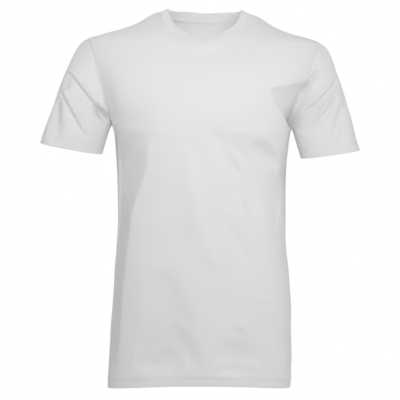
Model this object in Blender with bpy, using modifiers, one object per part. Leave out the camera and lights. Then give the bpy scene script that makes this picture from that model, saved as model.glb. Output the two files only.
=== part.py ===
"""Crew neck t-shirt, filled out as it is worn, with nobody in it.

Metres, +Z up. The front faces -Y and the wearer's left is at +X. The origin is the middle
of the neck opening, level with the tops of the shoulders.

Every piece of cloth is a grid of points on one worn form. The grids share the points of
their seams, each is trimmed back from them by half the seam gap, and Solidify gives the
open sheets their wall, on the inside.
"""
import math

import bpy
import numpy as np

# Cloth
CLOTH_THICKNESS = 0.0014
HEM_THICKNESS = 0.0022      # the cloth lies double in the hem and the cuffs
RIB_THICKNESS = 0.0022      # the neck rib is a folded strip
TAPE_THICKNESS = 0.0010
SEAM_GAP = 0.0004           # between the cut edges of two pieces
TAPE_CLEARANCE = 0.0003     # between the tape and what it lies on
SEAM_STRIP = 0.0025         # first strip of faces along a seam

# Heights of the cut, before the lean
NECK_POINT_HEIGHT = 0.0024      # where neck seam and shoulder seam meet
SHOULDER_TIP_HEIGHT = -0.0520
UNDERARM_HEIGHT = -0.2180
FRONT_NECK_HEIGHT = -0.0590     # lowest point of the neck seam, in front
BACK_NECK_HEIGHT = -0.0090
FRONT_NECK_ROUNDNESS = 1.95     # 2 is an ellipse, less is more pointed
BACK_NECK_ROUNDNESS = 2.1
SIDE_HEM_HEIGHT = -0.7176
FRONT_HEM_HEIGHT = -0.7062      # the chest lifts the hem in front
BACK_HEM_HEIGHT = -0.7181
HEM_WIDTH = 0.0200              # of the body's hem and of the cuffs

# Armhole, measured fore and aft of the shoulder line
FRONT_ARMHOLE_DEPTH = 0.0520
BACK_ARMHOLE_DEPTH = 0.0560
ARMHOLE_FULLNESS = 0.85         # 1 is an ellipse, less is fuller at its ends
ARMHOLE_PULL = 5.0              # how closely the cloth's run keeps to the armhole beside it
ARMHOLE_CARRY = 0.35            # how much of the chest's turn the sleeve carries on

# Stance: the wearer stands with the shoulders a little lower at +X
SHOULDER_TILT = 0.019           # rise over run
TILT_TOP = -0.20                # full tilt from here up
TILT_BOTTOM = -0.42             # none from here down
NECK_LEAN = 0.0050              # the lowest part of the neck, in front, lies towards -X
NECK_LEAN_WIDTH = 0.060
NECK_LEAN_HEIGHT = 0.036

# The worn form: one row a horizontal section. The depths run from the side line to the
# front and to the back, and a squareness of 2 is an ellipse.
SECTION_COLUMNS = ("height", "half_width", "front_depth", "back_depth", "side_line", "squareness")
SECTIONS = (
    (+0.0100, 0.0700, 0.0180, 0.0270, 0.0060, 2.10),
    (+0.0024, 0.0870, 0.0260, 0.0380, 0.0060, 2.15),
    (-0.0037, 0.1015, 0.0330, 0.0475, 0.0060, 2.20),
    (-0.0102, 0.1130, 0.0395, 0.0590, 0.0060, 2.20),
    (-0.0219, 0.1340, 0.0515, 0.0720, 0.0060, 2.25),
    (-0.0333, 0.1632, 0.0635, 0.0815, 0.0060, 2.25),
    (-0.0451, 0.2038, 0.0740, 0.0885, 0.0060, 2.30),
    (-0.0520, 0.2235, 0.0795, 0.0915, 0.0060, 2.30),
    (-0.0620, 0.2262, 0.0865, 0.0950, 0.0055, 2.30),
    (-0.0780, 0.2262, 0.0955, 0.1000, 0.0050, 2.30),
    (-0.0940, 0.2237, 0.1035, 0.1035, 0.0040, 2.30),
    (-0.1130, 0.2197, 0.1110, 0.1065, 0.0030, 2.30),
    (-0.1340, 0.2125, 0.1175, 0.1085, 0.0020, 2.30),
    (-0.1640, 0.2005, 0.1230, 0.1085, 0.0010, 2.30),
    (-0.1910, 0.1880, 0.1250, 0.1065, 0.0000, 2.30),
    (-0.2150, 0.1745, 0.1250, 0.1035, 0.0000, 2.30),
    (-0.2350, 0.1686, 0.1240, 0.1010, 0.0000, 2.30),
    (-0.2600, 0.1662, 0.1220, 0.0975, 0.0000, 2.30),
    (-0.3050, 0.1631, 0.1190, 0.0920, 0.0000, 2.30),
    (-0.3660, 0.1613, 0.1165, 0.0880, 0.0000, 2.30),
    (-0.4430, 0.1628, 0.1160, 0.0890, 0.0000, 2.25),
    (-0.5050, 0.1680, 0.1170, 0.0935, 0.0000, 2.25),
    (-0.5700, 0.1722, 0.1175, 0.0985, 0.0000, 2.25),
    (-0.6300, 0.1742, 0.1175, 0.1015, 0.0000, 2.25),
    (-0.6900, 0.1762, 0.1170, 0.1030, 0.0000, 2.25),
    (-0.7250, 0.1764, 0.1165, 0.1030, 0.0000, 2.25),
)

# How far the middle of the body lies from the middle of the neck
SWAY_COLUMNS = ("height", "shift")
SWAY = (
    (+0.0100, -0.0010),
    (-0.0500, -0.0023),
    (-0.1500, -0.0050),
    (-0.2600, -0.0070),
    (-0.3300, -0.0071),
    (-0.5700, -0.0075),
    (-0.6300, -0.0090),
    (-0.7200, -0.0115),
)

# Neck rib: how far its folded top edge stands in from the neck seam, and above it. The
# angle runs round the neck from the front.
RIB_TURN = 0.2                  # how far the rib's inner edge turns up, as a share of its width
RIB_COLUMNS = ("angle", "inward", "rise")
RIB = (
    (0.0, 0.0140, 0.0105),
    (40.0, 0.0150, 0.0110),
    (75.0, 0.0165, 0.0085),
    (95.0, 0.0160, 0.0075),
    (120.0, 0.0140, 0.0120),
    (145.0, 0.0120, 0.0155),
    (180.0, 0.0110, 0.0150),
)

# Sleeves: one row a side. The cuff is an ellipse; its outer end is higher than its inner
# one. The cap is how far the sleeve runs on along the shoulder before it turns down.
SLEEVE_COLUMNS = ("side", "cuff_out", "cuff_height", "cuff_half_width", "cap", "drop")
SLEEVES = (
    (-1.0, 0.2508, -0.2618, 0.0612, 0.044, 0.119),
    (+1.0, 0.2482, -0.2653, 0.0582, 0.039, 0.149),
)
CUFF_HALF_DEPTH = 0.0530
CUFF_FRONT_DROP = 0.0040        # the cuff hangs lower in front, and higher behind
CUFF_SLOPE = 0.165              # rise over run, outward
SLEEVE_LEAN = math.radians(17)  # of the cloth at the cuff, from straight down
UNDERARM_TURN = 0.005           # how far the cloth runs up before it turns into the sleeve
CUFF_SETTLE = 0.35              # how much of the sleeve's underside hangs straight

# Largest folds. Start and end are seen from the front, bow is how far the middle of the
# line lies to its left, depth is how far the cloth is pressed in (out, if negative), and
# lip is a soft ridge beside the line, as a share of the depth (on its other side, if
# negative).
FOLD_COLUMNS = ("piece", "face", "start_x", "start_z", "end_x", "end_z",
                "bow", "width", "depth", "lip")
FOLDS = (
    # hollows beside the armholes
    ("front_panel", "front", -0.192, -0.100, -0.152, -0.212, -0.004, 0.016, 0.0100, 0.3),
    ("front_panel", "front", 0.168, -0.128, 0.162, -0.214, 0.004, 0.015, 0.0135, -0.4),
    # the front turns to the side
    ("front_panel", "front", -0.118, -0.244, -0.152, -0.520, 0.012, 0.015, -0.0070, 0.0),
    ("front_panel", "front", -0.146, -0.244, -0.160, -0.440, 0.004, 0.014, 0.0080, 0.0),
    # drag lines from the chest and the waist
    ("front_panel", "front", 0.030, -0.206, 0.118, -0.425, -0.008, 0.014, 0.0060, 0.6),
    ("front_panel", "front", 0.100, -0.232, 0.146, -0.304, 0.000, 0.011, 0.0060, 0.6),
    ("front_panel", "front", -0.058, -0.315, 0.010, -0.480, -0.006, 0.014, 0.0045, 0.8),
    ("front_panel", "front", 0.010, -0.380, 0.116, -0.512, 0.004, 0.014, 0.0050, 0.8),
    ("front_panel", "front", -0.070, -0.490, -0.006, -0.676, -0.010, 0.014, 0.0060, 0.6),
    ("front_panel", "front", 0.152, -0.352, 0.126, -0.436, 0.002, 0.011, 0.0045, 0.4),
    ("back_panel", "back", 0.150, -0.236, 0.056, -0.336, 0.004, 0.015, 0.0055, 0.6),
    ("back_panel", "back", -0.150, -0.250, -0.040, -0.352, -0.006, 0.015, 0.0060, -0.6),
    ("back_panel", "back", 0.124, -0.352, -0.020, -0.424, 0.010, 0.017, 0.0060, 0.6),
    ("back_panel", "back", -0.110, -0.400, 0.036, -0.456, -0.010, 0.017, 0.0050, -0.6),
    ("back_panel", "back", 0.060, -0.490, 0.104, -0.650, 0.008, 0.015, 0.0050, 0.5),
    ("back_panel", "back", -0.078, -0.510, -0.112, -0.664, -0.006, 0.015, 0.0050, 0.5),
    ("back_panel", "back", -0.180, -0.118, -0.144, -0.206, 0.004, 0.016, 0.0080, 0.3),
    ("back_panel", "back", 0.184, -0.112, 0.148, -0.204, 0.004, 0.016, 0.0080, 0.3),
    # creases that run from the sleeves' outer sides to the underarms
    ("sleeve_right", "front", -0.262, -0.104, -0.186, -0.204, -0.003, 0.010, 0.0080, 0.7),
    ("sleeve_right", "front", -0.276, -0.136, -0.234, -0.234, -0.004, 0.010, 0.0060, 0.7),
    ("sleeve_right", "front", -0.284, -0.160, -0.270, -0.246, 0.002, 0.011, 0.0040, 0.4),
    ("sleeve_left", "front", 0.250, -0.112, 0.180, -0.196, -0.006, 0.010, 0.0080, 0.7),
    ("sleeve_left", "front", 0.264, -0.150, 0.196, -0.210, -0.004, 0.010, 0.0060, 0.7),
    ("sleeve_left", "front", 0.256, -0.184, 0.244, -0.246, 0.002, 0.011, 0.0040, 0.4),
    ("sleeve_right", "back", -0.266, -0.120, -0.200, -0.208, 0.004, 0.011, 0.0070, 0.6),
    ("sleeve_left", "back", 0.260, -0.126, 0.196, -0.208, 0.004, 0.011, 0.0070, 0.6),
)
FOLD_FADE = 0.014       # folds die out over this distance from a seam
FOLD_ENDS = 0.7         # less keeps a fold's depth closer to its ends
LIP_PLACE = 1.7         # from the middle of the line to the lip, in widths
FOLD_POINTS = 25

# How finely the grids are cut
SHOULDER_COLUMNS = 6    # of one shoulder seam
NECK_COLUMNS = 16       # of the neck seam, in front and at the back
ARMHOLE_ROWS = 13
SIDE_ROWS = 24
RELAXING = 60           # rounds of evening out a panel's grid
RELAXED_ROWS = 8        # it reaches this many rows below the underarm
RIB_ROWS = 4
SLEEVE_ROWS = 11
LINE_POINTS = 160       # of a curve, before it is cut into even lengths

CLOTH_COLOUR = (0.80, 0.80, 0.81, 1.0)
CLOTH_ROUGHNESS = 0.9


# ---------------------------------------------------------------- smooth tables
def column_of(columns, rows, name):
    """One named column of a table, as an array."""
    place = columns.index(name)
    return np.array([row[place] for row in rows])


def smooth(at, knots, values):
    """A smooth curve through a table's points, read at the places wanted."""
    if knots[0] > knots[-1]:
        knots = knots[::-1]
        values = values[::-1]
    steps = np.diff(knots)
    chords = np.diff(values) / steps
    slopes = np.empty_like(values)
    slopes[0] = chords[0]
    slopes[-1] = chords[-1]
    slopes[1:-1] = (chords[:-1] * steps[1:] + chords[1:] * steps[:-1]) / (steps[1:] + steps[:-1])
    at = np.clip(at, knots[0], knots[-1])
    span = np.clip(np.searchsorted(knots, at, side="right") - 1, 0, len(steps) - 1)
    size = steps[span]
    t = (at - knots[span]) / size
    return ((1 + 2 * t) * (1 - t) ** 2 * values[span]
            + t * (1 - t) ** 2 * size * slopes[span]
            + t ** 2 * (3 - 2 * t) * values[span + 1]
            + t ** 2 * (t - 1) * size * slopes[span + 1])


def section_value(name, height):
    knots = column_of(SECTION_COLUMNS, SECTIONS, "height")
    return smooth(height, knots, column_of(SECTION_COLUMNS, SECTIONS, name))


def ramp(low, high, at):
    """A soft step from 0 to 1."""
    t = np.clip((at - low) / (high - low), 0.0, 1.0)
    return t * t * (3 - 2 * t)


# ---------------------------------------------------------------- the worn form
def section_point(angle, height):
    """A point of a section: angle 0 is the front, 90 degrees is +X, 180 is the back."""
    half_width = section_value("half_width", height)
    power = 2.0 / section_value("squareness", height)
    depth = np.where(np.cos(angle) > 0, section_value("front_depth", height),
                     section_value("back_depth", height))
    across = np.sign(np.sin(angle)) * np.abs(np.sin(angle)) ** power
    along = np.sign(np.cos(angle)) * np.abs(np.cos(angle)) ** power
    x = half_width * across
    y = section_value("side_line", height) - depth * along
    return np.stack(np.broadcast_arrays(x, y, height), axis=-1)


def front_or_back(x, height, facing):
    """The point of the form that lies at x, in front or at the back."""
    squareness = section_value("squareness", height)
    depth = section_value("front_depth" if facing < 0 else "back_depth", height)
    share = np.clip(np.abs(x) / section_value("half_width", height), 0.0, 1.0)
    y = (section_value("side_line", height)
         + facing * depth * (1 - share ** squareness) ** (1.0 / squareness))
    return np.stack(np.broadcast_arrays(x, y, height), axis=-1)


def lengths(points):
    steps = np.linalg.norm(np.diff(points, axis=0), axis=1)
    return np.concatenate(([0.0], np.cumsum(steps)))


def spaced(points, shares):
    """Points at the given shares of a line's length."""
    run = lengths(points)
    return np.stack([np.interp(np.asarray(shares) * run[-1], run, points[:, axis])
                     for axis in range(3)], axis=1)


def unit(vectors):
    return vectors / np.linalg.norm(vectors, axis=-1, keepdims=True)


def onto_form(points):
    """Moves points to the nearest place on the form."""
    def excess(at):
        height = at[..., 2]
        squareness = section_value("squareness", height)
        fore = at[..., 1] - section_value("side_line", height)
        depth = np.where(fore < 0, section_value("front_depth", height),
                         section_value("back_depth", height))
        return (np.abs(at[..., 0] / section_value("half_width", height)) ** squareness
                + np.abs(fore / depth) ** squareness) ** (1.0 / squareness) - 1.0

    step = 1e-5 * np.eye(3)
    for _ in range(4):
        slope = np.stack([(excess(points + by) - excess(points - by)) / 2e-5 for by in step], axis=-1)
        points = points - slope * (excess(points) / (slope ** 2).sum(axis=-1))[..., None]
    return points


def seam_strip(edge, inner):
    """A line of points one seam strip in from an edge, square to it."""
    along = unit(np.gradient(edge, axis=0))
    away = inner - edge
    away = unit(away - along * (away * along).sum(axis=-1, keepdims=True))
    return onto_form(edge + away * SEAM_STRIP)


# ---------------------------------------------------------------- seams, at +X
def armhole_seam(facing):
    """From the shoulder tip down to the underarm; facing is -1 in front, +1 at the back."""
    turn = np.linspace(0.0, math.pi, 2 * LINE_POINTS)
    height = SHOULDER_TIP_HEIGHT + (UNDERARM_HEIGHT - SHOULDER_TIP_HEIGHT) * (1 - np.cos(turn)) / 2
    depth = FRONT_ARMHOLE_DEPTH if facing < 0 else BACK_ARMHOLE_DEPTH
    fore = facing * depth * np.sin(turn) ** ARMHOLE_FULLNESS
    full = np.where(facing < 0, section_value("front_depth", height),
                    section_value("back_depth", height))
    squareness = section_value("squareness", height)
    share = (1 - np.abs(fore / full) ** squareness) ** (1.0 / squareness)
    x = section_value("half_width", height) * share
    return np.stack((x, section_value("side_line", height) + fore, height), axis=1)


def shoulder_seam():
    """From the neck seam out to the shoulder tip."""
    height = np.linspace(NECK_POINT_HEIGHT, SHOULDER_TIP_HEIGHT, LINE_POINTS)
    return section_point(np.full_like(height, math.pi / 2), height)


def neck_seam(facing):
    """From the shoulder seam at +X to the middle."""
    turn = np.linspace(0.0, math.pi / 2, LINE_POINTS)
    low, roundness = ((FRONT_NECK_HEIGHT, FRONT_NECK_ROUNDNESS) if facing < 0
                      else (BACK_NECK_HEIGHT, BACK_NECK_ROUNDNESS))
    power = 2.0 / roundness
    x = section_value("half_width", NECK_POINT_HEIGHT) * np.cos(turn) ** power
    height = NECK_POINT_HEIGHT + (low - NECK_POINT_HEIGHT) * np.sin(turn) ** power
    return front_or_back(x, height, facing)


def mirrored(points):
    """The same line at -X, run the other way."""
    return (points * np.array((-1.0, 1.0, 1.0)))[::-1]


# ---------------------------------------------------------------- grids
def top_edge(facing):
    """Shoulder seam, neck seam and shoulder seam in one line, from -X to +X."""
    shoulder = spaced(shoulder_seam(), np.linspace(0.0, 1.0, SHOULDER_COLUMNS + 1))
    shoulder = section_point(math.pi / 2, shoulder[:, 2])
    neck = spaced(neck_seam(facing), np.linspace(0.0, 1.0, NECK_COLUMNS // 2 + 1))
    half = np.concatenate((neck[::-1], shoulder[1:]))
    return np.concatenate((mirrored(half)[:-1], half))


def panel_grid(facing):
    """Rows run down from the top edge to the hem, columns from -X to +X."""
    top = top_edge(facing)
    columns = len(top)

    share = np.linspace(-1.0, 1.0, columns)
    angle = share * math.pi / 2
    if facing > 0:
        angle = math.pi - angle
    chest = section_point(angle, np.full(columns, UNDERARM_HEIGHT))

    # Each column falls from the top edge to the chest, and follows the armhole beside it
    fall = (np.linspace(0.0, 1.0, LINE_POINTS) ** 2)[:, None]
    height = top[:, 2] + (UNDERARM_HEIGHT - top[:, 2]) * fall
    armhole = armhole_seam(facing)
    armhole_x = np.interp(-(SHOULDER_TIP_HEIGHT + (UNDERARM_HEIGHT - SHOULDER_TIP_HEIGHT) * fall),
                          -armhole[:, 2], armhole[:, 0])
    level = armhole[0, 0] + (armhole[-1, 0] - armhole[0, 0]) * ramp(0.0, 1.0, fall)
    beside = np.sign(share) * np.abs(share) ** ARMHOLE_PULL
    x = top[:, 0] + (chest[:, 0] - top[:, 0]) * ramp(0.0, 1.0, fall) + beside * (armhole_x - level)
    surface = front_or_back(x, height, facing)
    rows = np.linspace(0.0, 1.0, ARMHOLE_ROWS + 1)
    upper = np.stack([spaced(surface[:, column], rows) for column in range(columns)], axis=1)
    upper[0] = top
    upper[:, -1] = spaced(armhole, rows)
    upper[:, 0] = upper[:, -1] * np.array((-1.0, 1.0, 1.0))

    middle_hem = FRONT_HEM_HEIGHT if facing < 0 else BACK_HEM_HEIGHT
    hem = SIDE_HEM_HEIGHT + (middle_hem - SIDE_HEM_HEIGHT) * np.cos(share * math.pi / 2) ** 2
    stitching = 1.0 - HEM_WIDTH / (UNDERARM_HEIGHT - SIDE_HEM_HEIGHT)
    down = np.append(np.linspace(0.0, stitching, SIDE_ROWS)[1:], 1.0)
    height = UNDERARM_HEIGHT + (hem[None, :] - UNDERARM_HEIGHT) * down[:, None]
    lower = section_point(np.broadcast_to(angle, height.shape), height)
    grid = relaxed(np.concatenate((upper, lower)), ARMHOLE_ROWS + RELAXED_ROWS)
    grid = np.insert(grid, [1], seam_strip(grid[:, 0], grid[:, 1])[:, None], axis=1)
    grid = np.insert(grid, [-1], seam_strip(grid[:, -1], grid[:, -2])[:, None], axis=1)
    return np.insert(grid, [1], seam_strip(grid[0], grid[1]), axis=0)


def relaxed(grid, last):
    """Evens out a panel's points above a row, on the form; its edges stay."""
    for _ in range(RELAXING):
        middle = (grid[:last - 1, 1:-1] + grid[2:last + 1, 1:-1]
                  + grid[1:last, :-2] + grid[1:last, 2:]) / 4
        grid[1:last, 1:-1] = onto_form(middle)
    return grid


def trimmed(grid, top=False, bottom=False, ends=False):
    """Pulls a grid's seam edges back by half the seam gap."""
    grid = grid.copy()

    def pulled(edge, inner):
        away = inner - edge
        return edge + away * (SEAM_GAP / 2 / np.linalg.norm(away, axis=-1, keepdims=True))

    if ends:
        grid[:, 0] = pulled(grid[:, 0], grid[:, 1])
        grid[:, -1] = pulled(grid[:, -1], grid[:, -2])
    if top:
        grid[0] = pulled(grid[0], grid[1])
    if bottom:
        grid[-1] = pulled(grid[-1], grid[-2])
    return grid


def sleeve_line(curve):
    """Even steps from the armhole to the cuff's stitching, and one more to the edge."""
    stitching = 1.0 - HEM_WIDTH / lengths(curve)[-1]
    return spaced(curve, np.append(np.linspace(0.0, stitching, SLEEVE_ROWS), 1.0))


def sleeve_grid(row, front, back):
    """Rows run from the armhole to the cuff, columns round from the shoulder tip."""
    side, cuff_out, cuff_height, cuff_half_width, cap, drop = row
    count = ARMHOLE_ROWS + 1
    # From above: the tip, round by the back to the underarm, and home by the front
    start = np.concatenate((back[:count + 1, -1], front[count - 1:0:-1, -1]))
    strip = np.concatenate((back[:count + 1, -2], front[count - 1:0:-1, -2]))
    out = unit((start - strip) * np.array((1.0, ARMHOLE_CARRY, 1.0)))
    shares = lengths(back[:count + 1, -1])
    shares = shares / shares[-1]
    turn = math.pi * np.concatenate((shares, 2.0 - shares[count - 1:0:-1]))

    level = np.array((1.0, 0.0, CUFF_SLOPE)) / math.hypot(1.0, CUFF_SLOPE)
    centre = np.array((cuff_out, 0.002, cuff_height))
    end = (centre + np.cos(turn)[:, None] * cuff_half_width * level
           + np.sin(turn)[:, None] * np.array((0.0, CUFF_HALF_DEPTH, CUFF_FRONT_DROP)))
    fall = np.array((math.sin(SLEEVE_LEAN), 0.0, -math.cos(SLEEVE_LEAN)))

    upper = (1 + np.cos(turn)) / 2
    reach = UNDERARM_TURN + (cap - UNDERARM_TURN) * upper
    length = np.linalg.norm(end - start, axis=1)
    settle = length * CUFF_SETTLE + (drop - length * CUFF_SETTLE) * upper ** 2
    s = np.linspace(0.0, 1.0, LINE_POINTS)[:, None, None]
    curves = ((1 + 2 * s) * (1 - s) ** 2 * start + s * (1 - s) ** 2 * (reach[:, None] * 3 * out)
              + s ** 2 * (3 - 2 * s) * end + s ** 2 * (s - 1) * (settle[:, None] * 3 * fall))
    grid = np.stack([sleeve_line(curves[:, column]) for column in range(len(turn))], axis=1)
    grid = np.insert(grid, [1], start + out * SEAM_STRIP, axis=0)
    if side < 0:
        grid = (grid * np.array((-1.0, 1.0, 1.0)))[:, ::-1]
    return grid


def rib_grid(front, back):
    """Rows run down from the folded top edge to the neck seam, columns round from -X."""
    middle = front.shape[1] // 2
    neck = slice(middle - NECK_COLUMNS // 2, middle + NECK_COLUMNS // 2 + 1)
    seam = np.concatenate((front[0, neck], back[0, neck][::-1][1:-1]))
    below = np.concatenate((front[1, neck], back[1, neck][::-1][1:-1]))
    out = unit(seam - below)
    inward = np.array((0.0, seam[:, 1].mean(), 0.0)) - seam
    inward = unit(inward * np.array((1.0, 1.0, 0.0)))
    angle = np.degrees(np.arctan2(np.abs(inward[:, 0]), inward[:, 1]))
    knots = column_of(RIB_COLUMNS, RIB, "angle")
    step_in = smooth(angle, knots, column_of(RIB_COLUMNS, RIB, "inward"))
    step_up = smooth(angle, knots, column_of(RIB_COLUMNS, RIB, "rise"))
    top = seam + inward * step_in[:, None] + np.array((0.0, 0.0, 1.0)) * step_up[:, None]
    width = np.linalg.norm(top - seam, axis=1, keepdims=True)
    s = np.linspace(1.0, 0.0, RIB_ROWS + 1)[:, None, None]
    end = (top - seam) * (1 + RIB_TURN) - out * width * RIB_TURN
    grid = ((1 + 2 * s) * (1 - s) ** 2 * seam + s * (1 - s) ** 2 * out * width
            + s ** 2 * (3 - 2 * s) * top + s ** 2 * (s - 1) * end)
    return np.insert(grid, [-1], seam + out * SEAM_STRIP, axis=0)


def normals_of(grid, closed):
    """Outward directions of a grid's points, the mean of the faces round each."""
    if closed:
        grid = np.concatenate((grid[:, -1:], grid, grid[:, :1]), axis=1)
    faces = unit(np.cross(grid[1:, 1:] - grid[:-1, :-1], grid[:-1, 1:] - grid[1:, :-1]))
    around = np.pad(faces, ((1, 1), (1, 1), (0, 0)))
    normals = unit(around[1:, 1:] + around[:-1, 1:] + around[1:, :-1] + around[:-1, :-1])
    return normals[:, 1:-1] if closed else normals


def tape_grid(rib):
    """A strip on the inside of the rib's lower half, from shoulder to shoulder."""
    inside = rib - normals_of(rib, closed=True) * (RIB_THICKNESS + TAPE_CLEARANCE)
    half = rib.shape[1] // 2
    return inside[RIB_ROWS // 2:RIB_ROWS + 1, half + 1:]


# ---------------------------------------------------------------- folds
def fold_line(fold, points, facing_front):
    """A fold's line on the cloth, from its ends seen from the front."""
    _, face, start_x, start_z, end_x, end_z, bow, _, _, _ = fold
    t = np.linspace(0.0, 1.0, FOLD_POINTS)
    run = np.array((end_x - start_x, end_z - start_z))
    left = np.array((-run[1], run[0])) / np.linalg.norm(run)
    line = (np.array((start_x, start_z)) + t[:, None] * run
            + (4 * bow * t * (1 - t))[:, None] * left)
    wanted = facing_front if face == "front" else ~facing_front
    pool = points[wanted]
    apart = np.linalg.norm(line[:, None] - pool[None][..., [0, 2]], axis=-1)
    near = np.argsort(apart, axis=1)[:, :4]
    weight = 1.0 / (np.take_along_axis(apart, near, axis=1) + 1e-4) ** 2
    y = (pool[near, 1] * weight).sum(axis=1) / weight.sum(axis=1)
    return np.stack((line[:, 0], y, line[:, 1]), axis=1), t


def folded(piece, grid, closed, seams):
    """Presses the piece's folds into its grid."""
    normals = normals_of(grid, closed)
    points = grid.reshape(-1, 3)
    outward = normals.reshape(-1, 3)
    facing_front = outward[:, 1] < 0
    moved = np.zeros(len(points))
    for fold in FOLDS:
        if fold[0] != piece:
            continue
        width, depth, lip = fold[FOLD_COLUMNS.index("width"):]
        line, t = fold_line(fold, points, facing_front)
        apart = np.linalg.norm(points[:, None] - line[None], axis=-1)
        near = apart.argmin(axis=1)
        away = apart[np.arange(len(points)), near]
        along = np.gradient(line, axis=0)[near]
        side = np.sign((np.cross(along, points - line[near]) * outward).sum(axis=1))
        ends = np.sin(math.pi * np.clip(t[near], 0.02, 0.98)) ** FOLD_ENDS
        trough = np.exp(-(away / width) ** 2)
        lip_side = 1.0 if lip > 0 else -1.0
        ridge = np.exp(-((side * away * lip_side - LIP_PLACE * width) / width) ** 2)
        moved -= depth * ends * (trough - abs(lip) * ridge)
    edge = np.concatenate(seams)
    gap = np.linalg.norm(points[:, None] - edge[None], axis=-1).min(axis=1)
    moved *= ramp(SEAM_STRIP, FOLD_FADE, gap)
    return (points + outward * moved[:, None]).reshape(grid.shape)


# ---------------------------------------------------------------- stance
def in_stance(grid):
    """Sways the body and lowers the shoulder at +X."""
    x, y, z = grid[..., 0], grid[..., 1], grid[..., 2]
    shift = smooth(z, column_of(SWAY_COLUMNS, SWAY, "height"), column_of(SWAY_COLUMNS, SWAY, "shift"))
    tilt = SHOULDER_TILT * ramp(TILT_BOTTOM, TILT_TOP, z)
    below = (z - FRONT_NECK_HEIGHT) / NECK_LEAN_HEIGHT
    lean = NECK_LEAN * np.exp(-(x / NECK_LEAN_WIDTH) ** 2 - below ** 2) * ramp(0.0, NECK_LEAN_WIDTH, -y)
    return np.stack((x + shift - lean, y, z - tilt * x), axis=-1)


# ---------------------------------------------------------------- Blender objects
def clear_scene():
    for thing in list(bpy.data.objects):
        bpy.data.objects.remove(thing, do_unlink=True)


def cloth_material(name, colour=CLOTH_COLOUR):
    material = bpy.data.materials.new(name)
    material.use_nodes = True
    shader = material.node_tree.nodes["Principled BSDF"]
    shader.inputs["Base Color"].default_value = colour
    shader.inputs["Roughness"].default_value = CLOTH_ROUGHNESS
    shader.inputs["Metallic"].default_value = 0.0
    return material


def add_shell(name, grid, collection, thickness, closed=False, thick_rows=0):
    """A sheet of quads with its wall on the inside; thick_rows counts up from the bottom."""
    rows, columns, _ = grid.shape
    mesh = bpy.data.meshes.new(name)
    faces = []
    for row in range(rows - 1):
        for column in range(columns if closed else columns - 1):
            after = (column + 1) % columns
            faces.append((row * columns + column, (row + 1) * columns + column,
                          (row + 1) * columns + after, row * columns + after))
    mesh.from_pydata(grid.reshape(-1, 3).tolist(), [], faces)
    mesh.materials.append(cloth_material(name))
    mesh.shade_smooth()
    shell = bpy.data.objects.new(name, mesh)
    collection.objects.link(shell)
    wall = shell.modifiers.new("Wall", "SOLIDIFY")
    wall.offset = -1.0
    wall.use_rim = True
    if thick_rows:
        wall.thickness = HEM_THICKNESS
        group = shell.vertex_groups.new(name="hem")
        group.add([index for index in range((rows - thick_rows) * columns, rows * columns)], 1.0, "ADD")
        wall.vertex_group = group.name
        wall.thickness_vertex_group = thickness / HEM_THICKNESS
    else:
        wall.thickness = thickness
    return shell


def build():
    clear_scene()
    collection = bpy.data.collections.new("crew_neck_t_shirt")
    bpy.context.scene.collection.children.link(collection)

    front = panel_grid(-1)
    back = panel_grid(+1)

    for name, grid in (("front_panel", front), ("back_panel", back[:, ::-1])):
        seams = [grid[0], grid[:, 0], grid[:, -1]]
        cloth = in_stance(folded(name, grid, False, seams))
        add_shell(name, trimmed(cloth, top=True, ends=True), collection, CLOTH_THICKNESS,
                  thick_rows=2)

    for row in SLEEVES:
        name = "sleeve_left" if row[0] > 0 else "sleeve_right"
        grid = sleeve_grid(row, front, back)
        cloth = in_stance(folded(name, grid, True, [grid[0]]))
        add_shell(name, trimmed(cloth, top=True), collection, CLOTH_THICKNESS, closed=True,
                  thick_rows=2)

    rib = rib_grid(front, back)
    tape = tape_grid(rib)
    add_shell("neck_rib", trimmed(in_stance(rib), bottom=True), collection, RIB_THICKNESS,
              closed=True)
    add_shell("neck_tape", in_stance(tape), collection, TAPE_THICKNESS)


build()
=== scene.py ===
import math

import bpy
import numpy as np
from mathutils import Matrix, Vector


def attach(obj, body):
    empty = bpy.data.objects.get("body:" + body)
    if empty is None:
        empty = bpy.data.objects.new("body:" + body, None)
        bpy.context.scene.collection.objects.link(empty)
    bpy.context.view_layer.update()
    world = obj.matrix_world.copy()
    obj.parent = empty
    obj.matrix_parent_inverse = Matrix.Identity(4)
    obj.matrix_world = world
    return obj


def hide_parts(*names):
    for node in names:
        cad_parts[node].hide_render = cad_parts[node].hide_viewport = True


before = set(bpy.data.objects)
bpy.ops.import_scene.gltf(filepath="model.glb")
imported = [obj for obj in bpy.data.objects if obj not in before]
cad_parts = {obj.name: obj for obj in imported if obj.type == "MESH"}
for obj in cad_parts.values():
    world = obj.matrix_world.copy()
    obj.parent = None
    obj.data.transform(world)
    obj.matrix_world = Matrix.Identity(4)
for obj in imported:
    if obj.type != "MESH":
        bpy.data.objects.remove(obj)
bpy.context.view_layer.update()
print("frame loaded:", ", ".join(sorted(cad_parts)))

# Metres, +Z up, the front faces -Y and the wearer's left is at +X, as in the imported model.


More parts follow.
